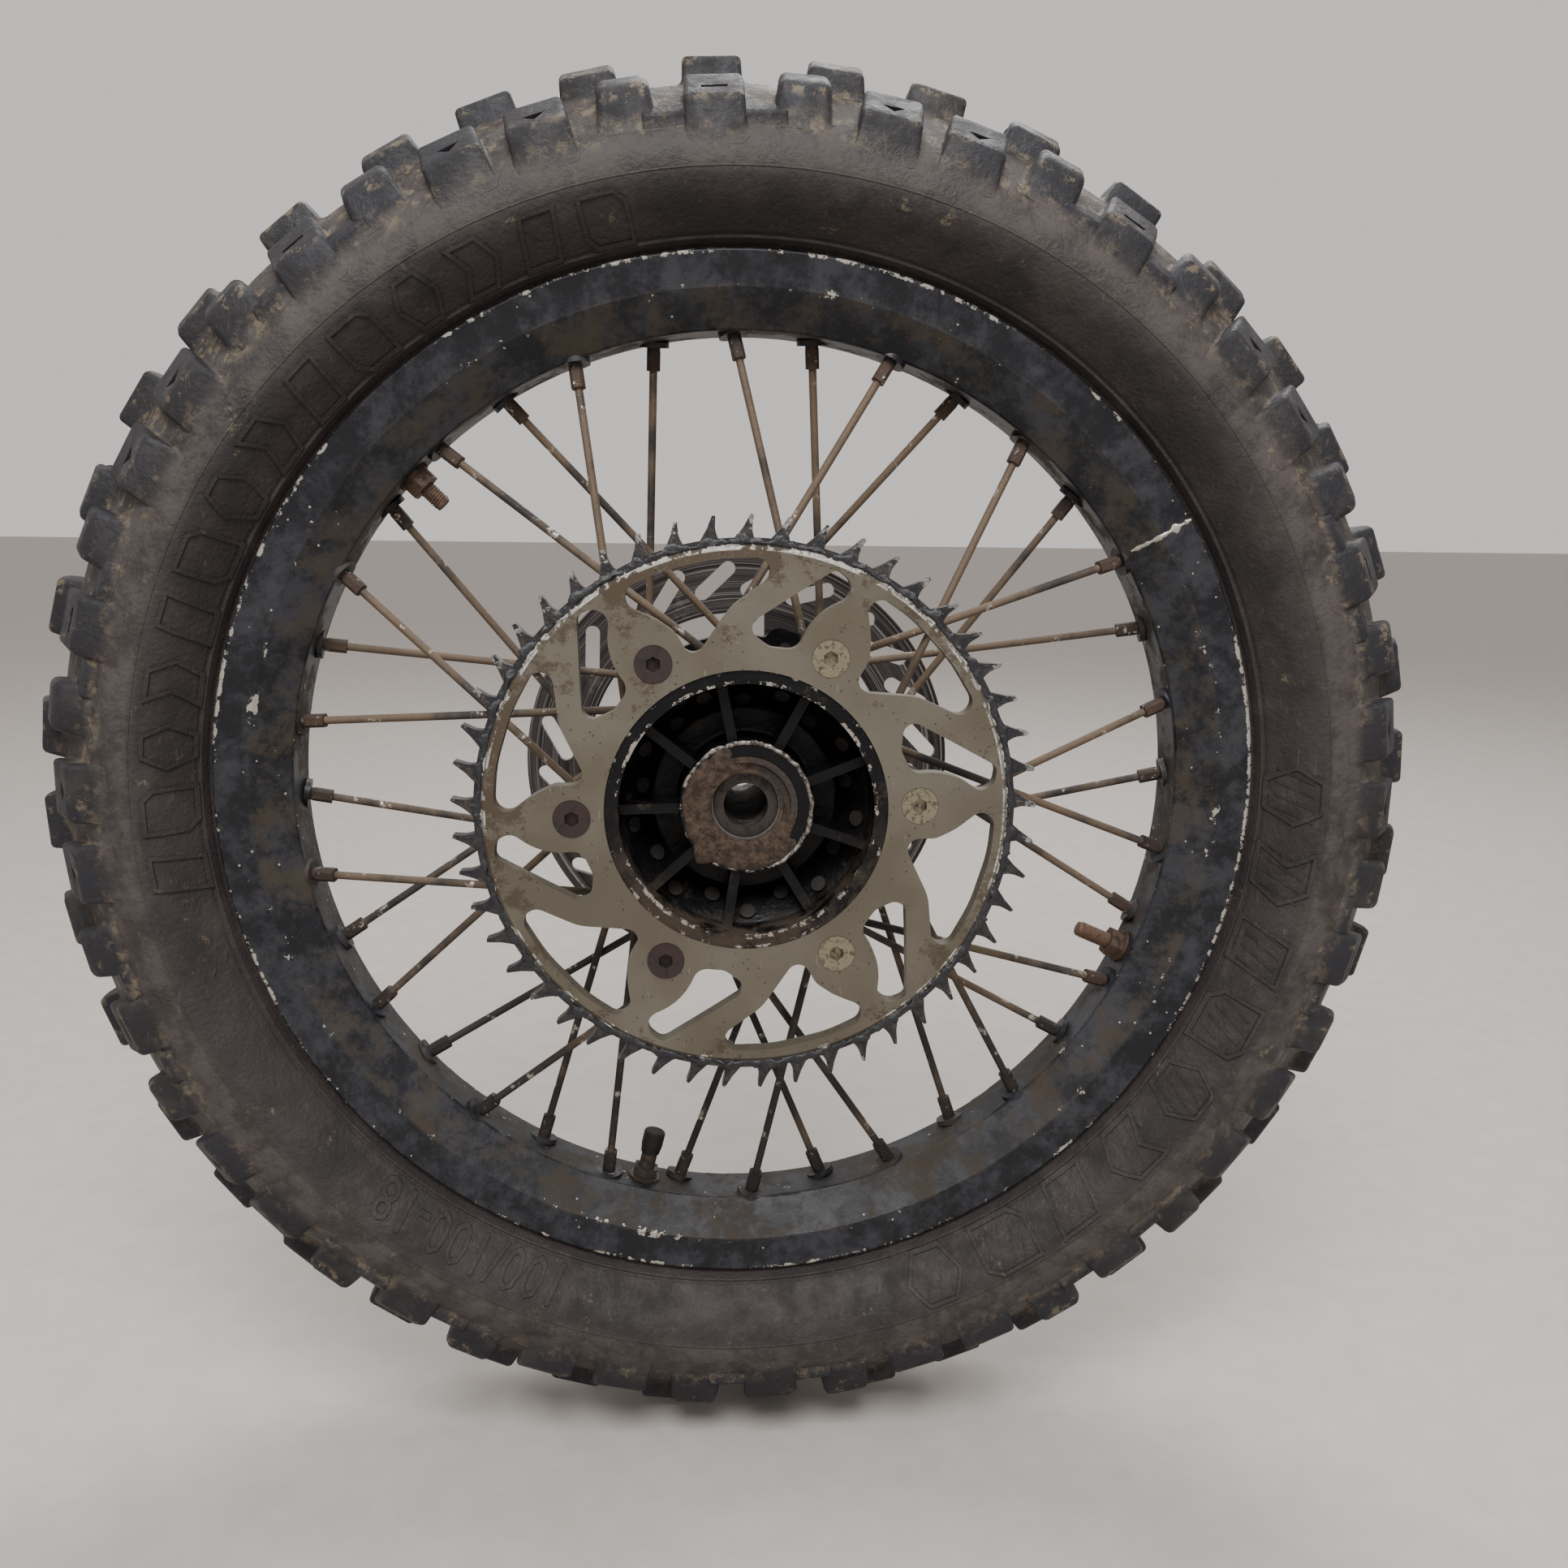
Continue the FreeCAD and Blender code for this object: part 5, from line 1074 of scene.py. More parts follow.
@dataclass(frozen=True)
class DiscSteel(Finish):
    """Brake disc rubbed in rings: bright lines over a brown-grey face."""

    base: Colour = (0.085, 0.074, 0.072)
    line: Colour = (0.48, 0.46, 0.45)
    rust: Colour = (0.048, 0.036, 0.026)
    shade: Colour = (0.030, 0.026, 0.026)
    rubbed: Span = (0.078, 0.081)

    def build(self, paint: Paint) -> bpy.types.Material:
        """Wire the nodes.

        Args:
            paint: The node tree to wire.

        Returns:
            The finished material.
        """
        lines = paint.rings(0.0011, 3.0)
        broad = paint.rings(0.006, 2.0)
        ring = paint.fade(paint.radius, *self.rubbed)
        mark = paint.times(ring, paint.fade(lines, 0.52, 0.66))
        colour = paint.mix(paint.fade(broad, 0.4, 0.62), self.base, self.shade)
        colour = paint.over(colour, self.line, mark, 0.7)
        rust = paint.fade(paint.grain(0.02, 6.0, 0.75, shift=3.0), 0.56, 0.68)
        colour = paint.over(colour, self.rust, rust, 0.6)
        rough = paint.blend(rust, paint.blend(mark, 0.42, 0.26), 0.75)
        return paint.close(colour, rough, paint.blend(rust, 0.8, 0.2), lines, 0.00012)


@dataclass(frozen=True)
class CakedDirt(Finish):
    """Seal rubber buried in rusty brown dirt on one side, bare and dark on the other."""

    dirt: Colour = (0.068, 0.043, 0.028)
    dark: Colour = (0.020, 0.0135, 0.010)
    rubber: Colour = (0.026, 0.019, 0.015)
    dust: Colour = (0.115, 0.086, 0.060)
    turn: float = 0.9
    clean_from: Span = (0.004, 0.026)

    def build(self, paint: Paint) -> bpy.types.Material:
        """Wire the nodes.

        Args:
            paint: The node tree to wire.

        Returns:
            The finished material.
        """
        lump = paint.grain(0.0035, 6.0, 0.75)
        fine = paint.grain(0.0010, 4.0, 0.7, shift=2.0)
        colour = paint.mix(paint.fade(lump, 0.38, 0.62), self.dark, self.dirt)
        colour = paint.over(colour, self.dust, paint.fade(fine, 0.55, 0.7), 0.6)
        across, up = math.sin(self.turn), math.cos(self.turn)
        away = paint.plus(paint.times(paint.x, across), paint.times(paint.z, up))
        clean = paint.plus(paint.fade(away, *self.clean_from), paint.times(lump, 0.9))
        clean = paint.fade(clean, 0.80, 1.15)
        colour = paint.over(colour, self.rubber, clean)
        rough = paint.blend(clean, 0.9, 0.42)
        return paint.close(colour, rough, 0.0, lump, 0.0009, 0.4)


@dataclass(frozen=True)
class Soft(Finish):
    """Plain rubber or plastic with a moulded grain and a little dust."""

    base: Colour = (0.009, 0.0095, 0.011)
    dust: Colour = (0.05, 0.042, 0.034)
    rough: float = 0.6

    def build(self, paint: Paint) -> bpy.types.Material:
        """Wire the nodes.

        Args:
            paint: The node tree to wire.

        Returns:
            The finished material.
        """
        fine = paint.grain(0.0008, 3.0, 0.6)
        patch = paint.grain(0.006, 5.0, 0.7, shift=2.0)
        share = paint.times(paint.fade(patch, 0.5, 0.72), 0.5)
        colour = paint.mix(share, self.base, self.dust)
        rough = paint.blend(share, self.rough, 0.85)
        height = paint.plus(fine, paint.times(patch, 0.6))
        return paint.close(colour, rough, 0.0, height, 0.0002, 0.4)


@dataclass(frozen=True)
class Grease(Finish):
    """Old chain grease: blue-black, lumpy and wet in places."""

    base: Colour = (0.0075, 0.0080, 0.0115)
    grit: Colour = (0.050, 0.040, 0.031)

    def build(self, paint: Paint) -> bpy.types.Material:
        """Wire the nodes.

        Args:
            paint: The node tree to wire.

        Returns:
            The finished material.
        """
        lump = paint.grain(0.0022, 5.0, 0.7)
        grit = paint.fade(paint.grain(0.004, 6.0, 0.8, shift=4.0), 0.56, 0.68)
        colour = paint.mix(paint.times(grit, 0.6), self.base, self.grit)
        rough = paint.blend(grit, 0.30, 0.8)
        return paint.close(colour, rough, 0.0, lump, 0.0006, 0.6)


# ---------------------------------------------------------------- tyre


@dataclass(frozen=True)
class KnobShape:
    """Corners of one kind of tread knob: (height above the bead seat, offset) in millimetres."""

    name: str
    foot_in: Span
    foot_out: Span
    top_in: Span
    top_out: Span
    foot_length: float
    top_length: float
    steps: tuple[float, ...]
    mark: Mark = Mark.PLAIN
    edge: float = 2.2
    both_sides: bool = True
    crowned: bool = False

    def is_low(self, point: Vector) -> bool:
        """Whether a point belongs to the knob's foot rather than to its top.

        Args:
            point: A point of the knob.

        Returns:
            True for a point of the foot.
        """
        width = self.foot_out[1] - self.foot_in[1]
        share = min(max((point.y / MM - self.foot_in[1]) / width, 0.0), 1.0)
        low = self.foot_in[0] * (1 - share) + self.foot_out[0] * share
        high = self.top_in[0] * (1 - share) + self.top_out[0] * share
        return point.z < SEAT_RADIUS + (low + high) / 2 * MM


@dataclass(frozen=True)
class Landing:
    """Where one line of a knob's wall meets the carcass, and how its flare runs out."""

    place: Vector
    up: Vector
    out: Vector
    reach: float

    def at(self, share: float) -> Vector:
        """A point of the hollow quarter curve, 0 on the wall and 1 on the carcass.

        Args:
            share: How far along the curve, from 0 to 1.

        Returns:
            The point, in metres.
        """
        turn = share * math.pi / 2
        rise, run = 1 - math.sin(turn), 1 - math.cos(turn)
        return self.place + self.up * (self.reach * rise) + self.out * (self.reach * run)


@dataclass
class Tyre:
    """Tyre: a spun carcass, tread knobs with flared feet, tie plates and moulded marks."""

    phase: float = -2.8
    repeat: float = 36.0
    knob_step: float = 7.2
    steps: int = 240
    flare: float = 3.2
    sink: float = 1.6
    cuts: tuple[float, ...] = (0.15, 0.35, 0.55, 0.72, 0.86, 0.95)
    rings: tuple[float, ...] = (0.35, 0.7, 1.0, 1.2)
    mark_share: float = 0.62
    mould_line_radius: float = 0.2706
    mould_line: Span = (0.0005, 0.0004)
    outer: tuple[Corner, ...] = (
        (64.5, 39.0, 10.0),
        (44.5, 59.0, 22.0),
        (19.4, 31.0, 4.0),
        (18.4, 29.0, 0.5),
        (17.2, 29.8, 0.8),
        (15.4, 23.1, 1.5),
        (0.4, 23.1, 2.5),
        (0.4, 12.7, 1.5),
        (15.0, 14.2, 4.0),
        (23.6, 26.8, 4.0),
        (44.5, 50.6, 13.6),
        (56.1, 34.8, 10.0),
    )
    crown_height: float = 98.8
    crown_corner: Corner = (100.0, 0.0, 40.0)
    inner_crown: Corner = (90.6, 0.0, 40.0)
    shapes: tuple[KnobShape, ...] = (
        KnobShape(
            "slotted", (70, 25.5), (46, 48.4), (84, 26.5), (70, 46), 26, 25.6, (0,), Mark.SLOT
        ),
        KnobShape(
            "pitted", (70, 25.5), (48, 48.2), (83.4, 26.5), (69, 46.4), 27, 26.4, (2, 3), Mark.PIT
        ),
        KnobShape("inset", (70, 25), (57, 44), (86, 25.5), (77.5, 41), 25, 22, (1, 4), edge=3.2),
        KnobShape(
            "tie", (62, 36), (54, 43.5), (69.5, 37.5), (64, 45), 25, 24, (0.5, 4.5), edge=1.0
        ),
        KnobShape(
            "centre", (76, -13), (76, 13), (95, -12), (95, 12), 28, 25, (0, 2.5),
            both_sides=False, crowned=True,
        ),
        KnobShape("paired", (77, 4), (72, 22), (97.8, 3.5), (90, 20.5), 27, 24, (1.35, 3.65)),
    )
    tree: BVHTree | None = field(default=None, init=False)

    def build(self) -> Piece:
        """The whole tyre as one piece, with the distance from the carcass on its points.

        Returns:
            The tyre.
        """
        parts = [self.carcass()]
        parts += [self.seam(side) for side in Side]
        for shape in self.shapes:
            parts += self.knobs(shape)
        for side in Side:
            parts += SideWallMarks(self, side).build()
        for part in parts:
            self.note_lift(part)
        tyre = Bench.smooth(Bench.join("tyre_with_tread", parts), 38.0)
        Bench.hand_over(tyre, "wheel", "tyre_rubber", TyreRubber("worn_tyre_rubber"), ("tyre",))
        return tyre

    def section(self) -> list[Span]:
        """The carcass's closed section as (radius, offset), in metres.

        Returns:
            The section's points.
        """
        other = [(c[0], -c[1], c[2]) for c in reversed(self.outer)]
        outline = rounded([self.crown_corner, *self.outer, self.inner_crown, *other])
        return [(SEAT_RADIUS + height * MM, offset * MM) for height, offset in outline]

    def carcass(self) -> Piece:
        """The carcass: its section spun about the axle.

        Returns:
            The carcass.
        """
        piece = Bench.spin(Bench.ring("carcass", self.section()), self.steps)
        self.tree = tree_of(piece)
        return piece

    def seam(self, side: Side) -> Piece:
        """A fine raised line round the side wall, where the mould's halves met.

        Args:
            side: Side of the wheel.

        Returns:
            The line.
        """
        middle = side.value * self.wall_offset(self.mould_line_radius)
        half_width, half_height = self.mould_line
        half = (half_width, side.value * half_height)
        points = oval((self.mould_line_radius, middle), half, 8)
        return Bench.spin(Bench.ring("mould_line", points), self.steps)

    def wall_offset(self, radius: float) -> float:
        """Offset of the side wall's outside at a radius, in metres."""
        hit = self.tree.ray_cast(Vector((0.0, 0.2, radius)), Vector((0.0, -1.0, 0.0)))
        return hit[0].y

    def knobs(self, shape: KnobShape) -> list[Piece]:
        """Every knob of one kind, on one or both sides.

        Args:
            shape: Kind of knob.

        Returns:
            The knobs.
        """
        pattern = self.flared(self.block(shape), shape)
        Bench.roughen(pattern, 0.009, 0.0004)
        patterns = [pattern]
        if shape.both_sides:
            patterns.append(Bench.mirrored(pattern))
        turns = range(round(360 / self.repeat))
        angles = [
            self.phase + turn * self.repeat + step * self.knob_step
            for turn in turns
            for step in shape.steps
        ]
        return [copy for one in patterns for copy in Bench.copies(one, angles)]

    def block(self, shape: KnobShape) -> Piece:
        """A knob's body: a cube reshaped, bevelled and marked, at the top of the wheel.

        Args:
            shape: Kind of knob.

        Returns:
            The knob's body.
        """
        Bench.clear()
        bpy.ops.mesh.primitive_cube_add(size=1.0)
        piece = Bench.new(f"{shape.name}_knob")
        for vertex in piece.data.vertices:
            is_top, is_out = vertex.co.z > 0, vertex.co.y > 0
            if is_top:
                height, offset = shape.top_out if is_out else shape.top_in
            else:
                height, offset = shape.foot_out if is_out else shape.foot_in
            length = shape.top_length if is_top else shape.foot_length
            across = math.copysign(length / 2, vertex.co.x)
            vertex.co = (across * MM, offset * MM, SEAT_RADIUS + height * MM)
        if shape.crowned:
            self.crown(piece)
        low = {v.index for v in piece.data.vertices if shape.is_low(v.co)}
        Bench.choose_edges(piece, lambda edge: not set(edge.vertices) <= low)
        bpy.ops.mesh.bevel(offset=shape.edge * MM, segments=3, profile=0.5, clamp_overlap=True)
        bpy.ops.object.mode_set(mode="OBJECT")
        if shape.mark is not Mark.PLAIN:
            self.cut_mark(piece, shape)
        inner, outer = shape.foot_in[1], shape.foot_out[1]
        cuts = [inner + (outer - inner) * share for share in self.cuts]
        return Bench.slice(piece, "Y", [cut * MM for cut in cuts])

    def crown(self, piece: Piece) -> None:
        """Split a knob down its middle and lift the middle of its top.

        Args:
            piece: The knob's body.
        """
        Bench.slice(piece, "Y", [0.0])
        for vertex in piece.data.vertices:
            if abs(vertex.co.y) < 1e-5 and vertex.co.z > SEAT_RADIUS + 85 * MM:
                vertex.co.z = SEAT_RADIUS + self.crown_height * MM

    def cut_mark(self, piece: Piece, shape: KnobShape) -> None:
        """Sink a slot or a three-cornered pit into the top of a knob.

        Args:
            piece: The knob's body.
            shape: Kind of knob.
        """
        share = self.mark_share
        height = shape.top_in[0] * (1 - share) + shape.top_out[0] * share
        offset = shape.top_in[1] * (1 - share) + shape.top_out[1] * share
        slope = math.atan2(shape.top_out[0] - shape.top_in[0], shape.top_out[1] - shape.top_in[1])
        Bench.clear()
        if shape.mark is Mark.SLOT:
            bpy.ops.mesh.primitive_cube_add(size=1.0, scale=(11 * MM, 2.2 * MM, 5 * MM))
            cutter = Bench.new("cutter")
        else:
            bpy.ops.mesh.primitive_cylinder_add(vertices=3, radius=5.6 * MM, depth=5 * MM)
            cutter = Bench.new("cutter")
            cutter.data.transform(Matrix.Diagonal((1.0, 0.62, 1.0, 1.0)))
        cutter.data.transform(Matrix.Rotation(slope, 4, "X"))
        cutter.data.transform(Matrix.Translation((0.0, offset * MM, SEAT_RADIUS + height * MM)))
        cut = piece.modifiers.new("mark", "BOOLEAN")
        cut.operation, cut.object, cut.solver = "DIFFERENCE", cutter, "EXACT"
        Bench.apply(piece)
        Bench.remove(cutter)

    def flared(self, piece: Piece, shape: KnobShape) -> Piece:
        """Turn the sharp foot of a knob into a hollow curve that runs out on the carcass.

        Args:
            piece: The knob's body.
            shape: Kind of knob.

        Returns:
            The knob, closed below the carcass.
        """
        places = [vertex.co.copy() for vertex in piece.data.vertices]
        Bench.choose_faces(piece, lambda face: all(shape.is_low(places[i]) for i in face.vertices))
        bpy.ops.mesh.delete(type="FACE")
        bpy.ops.object.mode_set(mode="OBJECT")
        used: dict[tuple[int, int], int] = {}
        for face in piece.data.polygons:
            for key in face.edge_keys:
                used[key] = used.get(key, 0) + 1
        border = {key for key, count in used.items() if count == 1}
        plan = self.landings(piece, border)
        for index, landing in plan.items():
            piece.data.vertices[index].co = landing.at(0.0)
        Bench.choose_edges(piece, lambda edge: tuple(sorted(edge.vertices)) in border)
        bpy.ops.object.mode_set(mode="OBJECT")
        for share in self.rings:
            plan = self.grow(piece, plan, share)
        Bench.take(piece)
        bpy.ops.object.mode_set(mode="EDIT")
        bpy.ops.mesh.edge_face_add()
        bpy.ops.mesh.select_all(action="SELECT")
        bpy.ops.mesh.normals_make_consistent(inside=False)
        bpy.ops.object.mode_set(mode="OBJECT")
        return piece

    def landings(
        self, piece: Piece, border: set[tuple[int, int]]
    ) -> dict[int, Landing]:
        """Where each point of an open foot lands on the carcass.

        Args:
            piece: The knob, open at its foot.
            border: Edges of the opening, as sorted pairs of points.

        Returns:
            A landing for every point of the opening.
        """
        mesh = piece.data
        foot = {index for key in border for index in key}
        above: dict[int, Vector] = {}
        for edge in mesh.edges:
            a, b = edge.vertices
            if (a in foot) != (b in foot):
                low, high = (a, b) if a in foot else (b, a)
                above[low] = mesh.vertices[high].co.copy()
        centre = sum((mesh.vertices[i].co for i in foot), Vector()) / len(foot)
        plan: dict[int, Landing] = {}
        for index in foot:
            here = mesh.vertices[index].co.copy()
            top = above.get(index, here + Vector((0.0, 0.0, 0.01)))
            way = (here - top).normalized()
            hit, normal = self.tree.ray_cast(top, way)[:2]
            if hit is None or (hit - here).length > 0.016:
                hit, normal = self.tree.find_nearest(here)[:2]
            height = self.tree.find_nearest(top)[3]
            reach = min(self.flare * MM, height * 0.3)
            beside = [i for key in border if index in key for i in key if i != index]
            along = mesh.vertices[beside[0]].co - mesh.vertices[beside[-1]].co
            out = normal.cross(along).normalized()
            if out.dot(here - centre) < 0:
                out.negate()
            if out.dot(-way) < -0.5:
                reach *= 0.5
            plan[index] = Landing(hit.copy(), -way, out, reach)
        return plan

    def grow(
        self, piece: Piece, plan: dict[int, Landing], share: float
    ) -> dict[int, Landing]:
        """Extrude the open foot by one ring and put it in its place.

        Args:
            piece: The knob, with its foot selected.
            plan: A landing for each point of the ring so far.
            share: How far along the flare the new ring is; past 1 it sinks into the carcass.

        Returns:
            The landings, by the new ring's points.
        """
        Bench.take(piece)
        bpy.ops.object.mode_set(mode="EDIT")
        bpy.ops.mesh.extrude_region_move()
        bpy.ops.object.mode_set(mode="OBJECT")
        mesh = piece.data
        ring = {v.index for v in mesh.vertices if v.select}
        grown: dict[int, Landing] = {}
        for edge in mesh.edges:
            a, b = edge.vertices
            if a in ring and b in plan and b not in ring:
                grown[a] = plan[b]
            elif b in ring and a in plan and a not in ring:
                grown[b] = plan[a]
        for index, landing in grown.items():
            place = landing.at(min(share, 1.0))
            if share >= 1.0:
                near, normal = self.tree.find_nearest(place)[:2]
                place = near - normal * ((share - 1.0) / 0.2 * self.sink * MM)
            mesh.vertices[index].co = place
        return grown

    def note_lift(self, part: Piece) -> None:
        """Store each point's distance from the carcass, for the finish.

        Args:
            part: Part of the tyre that gets the values.
        """
        layer = part.data.attributes.new("lift", "FLOAT", "POINT")
        for vertex in part.data.vertices:
            layer.data[vertex.index].value = self.tree.find_nearest(vertex.co)[3]


def tree_of(piece: Piece) -> BVHTree:
    """A search tree over a piece's faces.

    Args:
        piece: The piece whose faces are searched.

    Returns:
        The tree.
    """
    mesh = piece.data
    points = [vertex.co.copy() for vertex in mesh.vertices]
    return BVHTree.FromPolygons(points, [tuple(face.vertices) for face in mesh.polygons])


@dataclass
class SideWallMarks:
    """Raised outlines, hatching and size figures on one side wall."""

    tyre: Tyre
    side: Side
    line: float = 1.7
    lift: float = 1.1
    row: float = 0.0035
    figures_at: float = 211.0
    figure_height: float = 16.0
    figure_foot: float = 0.2485
    narrow: Band = (246.5, 266.0, 21.0)
    wide: Band = (246.5, 268.5, 29.0)
    narrow_row: tuple[float, float, int] = (262.6, 6.45, 14)
    wide_row: tuple[float, float, int] = (89.5, 8.6, 9)
    outlines: tuple[tuple[Span, ...], ...] = (
        ((-0.5, 0), (-0.28, 1), (0.5, 1), (0.28, 0)),
        ((-0.5, 0.22), (-0.5, 1), (0.28, 1), (0.5, 0.78), (0.5, 0), (-0.28, 0)),
        ((-0.5, 0.5), (-0.25, 1), (0.25, 1), (0.5, 0.5), (0.25, 0), (-0.25, 0)),
        ((-0.5, 0), (-0.22, 0.5), (-0.5, 1), (0.22, 1), (0.5, 0.5), (0.22, 0)),
    )

    def build(self) -> list[Piece]:
        """Both groups of outlined blocks and the size figures.

        Returns:
            The marks.
        """
        parts = [self.figures("100/100-18", self.figures_at, self.figure_height)]
        first, step, count = self.narrow_row
        for index in range(count):
            parts.append(self.outline(index, first + index * step, self.narrow))
        first, step, count = self.wide_row
        for index in range(count):
            parts.append(self.outline(index + 2, first + index * step, self.wide))
            parts += self.hatching(first + index * step, self.wide)
        return parts

    def lay(self, piece: Piece, angle: float) -> Piece:
        """Wrap a flat mark onto the side wall.

        Args:
            piece: Mark with x along the wall, z its radius and y its height off the wall.
            angle: Angle of its middle, in degrees.

        Returns:
            The wrapped mark.
        """
        heights = [vertex.co.z for vertex in piece.data.vertices]
        rows = int((max(heights) - min(heights)) / self.row)
        Bench.slice(piece, "Z", [min(heights) + self.row * (k + 0.5) for k in range(rows + 1)])
        for vertex in piece.data.vertices:
            x, lift, radius = vertex.co
            turn = angle + math.degrees(x / radius)
            if self.side is Side.BRAKE:
                turn = 360.0 - turn
            offset = self.tyre.wall_offset(radius) + lift
            vertex.co = on_wheel(radius, turn, offset * self.side.value)
        return Bench.tidy(piece)

    def outline(self, kind: int, angle: float, block: Band) -> Piece:
        """One block outlined by a raised line.

        Args:
            kind: Number of the outline.
            angle: Angle of its middle, in degrees.
            block: Its lowest and highest radius and its width, in millimetres.

        Returns:
            The outlined block.
        """
        low, high, width = block
        corners = self.outlines[kind % len(self.outlines)]
        Bench.clear()
        bpy.ops.mesh.primitive_circle_add(vertices=len(corners), radius=1.0, fill_type="NGON")
        piece = Bench.new("outline")
        for vertex, (across, up) in zip(piece.data.vertices, corners):
            vertex.co = (across * width * MM, 0.0, (low + (high - low) * up) * MM)
        with Bench.editing(piece):
            bpy.ops.mesh.inset(thickness=self.line * MM, use_even_offset=True)
            bpy.ops.mesh.delete(type="FACE")
        return self.lay(Bench.thicken(piece, self.lift * 2 * MM, 0.0), angle)

    def hatching(self, angle: float, block: Band) -> list[Piece]:
        """Slanting ribs inside a block.

        Args:
            angle: Angle of its middle, in degrees.
            block: Its lowest and highest radius and its width, in millimetres.

        Returns:
            The ribs.
        """
        low, high, width = block
        ribs = []
        for index in range(4):
            Bench.clear()
            bpy.ops.mesh.primitive_cube_add(size=1.0)
            rib = Bench.new("rib")
            across = (index - 1.5) * width * 0.21
            for vertex in rib.data.vertices:
                lean = vertex.co.z * 6.0
                vertex.co = (
                    (across + lean + vertex.co.x * 0.7) * MM,
                    vertex.co.y * self.lift * 1.2 * MM,
                    ((low + high) / 2 + vertex.co.z * (high - low) * 0.62) * MM,
                )
            ribs.append(self.lay(rib, angle))
        return ribs

    def figures(self, text: str, angle: float, height: float) -> Piece:
        """Raised figures that read along the wall, their tops outwards.

        Args:
            text: The figures.
            angle: Angle of its middle, in degrees.
            height: Height of the figures, in millimetres.

        Returns:
            The figures.
        """
        Bench.clear()
        bpy.ops.object.text_add()
        piece = bpy.context.object
        curve = piece.data
        curve.body, curve.align_x, curve.size = text, "CENTER", height * 1.4 * MM
        curve.extrude, curve.resolution_u = self.lift * MM, 2
        bpy.ops.object.convert(target="MESH")
        piece = bpy.context.object
        piece.name = "figures"
        for vertex in piece.data.vertices:
            x, y, z = vertex.co
            vertex.co = (x, z, self.figure_foot + y)
        return self.lay(piece, angle)


# ---------------------------------------------------------------- small pieces


@dataclass
class SprocketGrease:
    """A ragged crust of old grease round the bottoms of the tooth gaps."""

    radius: float = 0.1172
    half_width: float = 0.0016
    height: float = 0.0006
    face: float = -0.0648
    ragged: Span = (0.0022, 0.0015)
    scallop: float = 0.0009
    lumps: float = 0.0009
    gaps: int = 49
    phase: float = 2.8
    steps: int = 588

    def build(self) -> Piece:
        """Spin a thin section and make it ragged.

        Returns:
            The crust.
        """
        points = oval((self.radius, self.face), (self.half_width, -self.height), 10)
        piece = Bench.spin(Bench.ring("sprocket_grease", points), self.steps)
        for vertex in piece.data.vertices:
            here = vertex.co
            flat = Vector((here.x, 0.0, here.z))
            broad, fine = noise.noise(flat / 0.006), noise.noise(flat / 0.0018)
            radius = flat.length
            edge = (radius - self.radius) / self.half_width
            gap = math.cos(self.gaps * (math.atan2(here.x, here.z) - math.radians(self.phase)))
            push = (broad * self.ragged[0] + fine * self.ragged[1]) * abs(edge)
            push = push - gap * max(edge, 0.0) * self.scallop
            here += flat.normalized() * push
            if here.y < self.face:
                here.y -= max(broad + fine, -0.8) * self.lumps
        Bench.smooth(piece, 60.0)
        Bench.hand_over(piece, "wheel", "sprocket_alloy", Grease("chain_grease"))
        return piece


@dataclass
class RimWeld:
    """The bright seam where the rim's hoop was welded shut, over its drive-side face."""

    angle: float = 57.8
    half_width: float = 0.0011
    lift: float = 0.0006
    first: float = 0.2418
    last: float = 0.2135
    thickness: float = 0.0007
    steps: int = 44

    def build(self, rim: Piece) -> Piece:
        """Lay a narrow crowned strip down the rim's face.

        Args:
            rim: The rim, whose face the strip follows.

        Returns:
            The strip.
        """
        face = tree_of(rim)
        Bench.clear()
        bpy.ops.mesh.primitive_grid_add(x_subdivisions=self.steps, y_subdivisions=4, size=2.0)
        piece = Bench.new("rim_weld")
        way = on_wheel(1.0, self.angle).normalized()
        for vertex in piece.data.vertices:
            along, across = (vertex.co.x + 1) / 2, vertex.co.y
            radius = self.first + (self.last - self.first) * along
            start = way * radius + Vector((0.0, -0.2, 0.0))
            hit = face.ray_cast(start, Vector((0.0, 1.0, 0.0)))[0]
            crown = self.lift * (1 - across * across) - 0.0001
            ripple = noise.noise(Vector((radius / 0.0012, across, 0.0))) * 0.0002
            width = self.half_width * (1 + 2 * noise.noise(Vector((radius / 0.004, 5.0, 0.0))))
            turn = self.angle + math.degrees(across * width / radius)
            vertex.co = on_wheel(radius, turn, hit.y - crown - ripple)
        Bench.smooth(Bench.tidy(Bench.thicken(piece, self.thickness, -1.0)), 50.0)
        finish = Metal(
            "weld_metal", (0.42, 0.39, 0.34), (0.10, 0.085, 0.07), 0.52, 0.42, 0.5, 0.004
        )
        Bench.hand_over(piece, "wheel", "rim_paint", finish)
        return piece


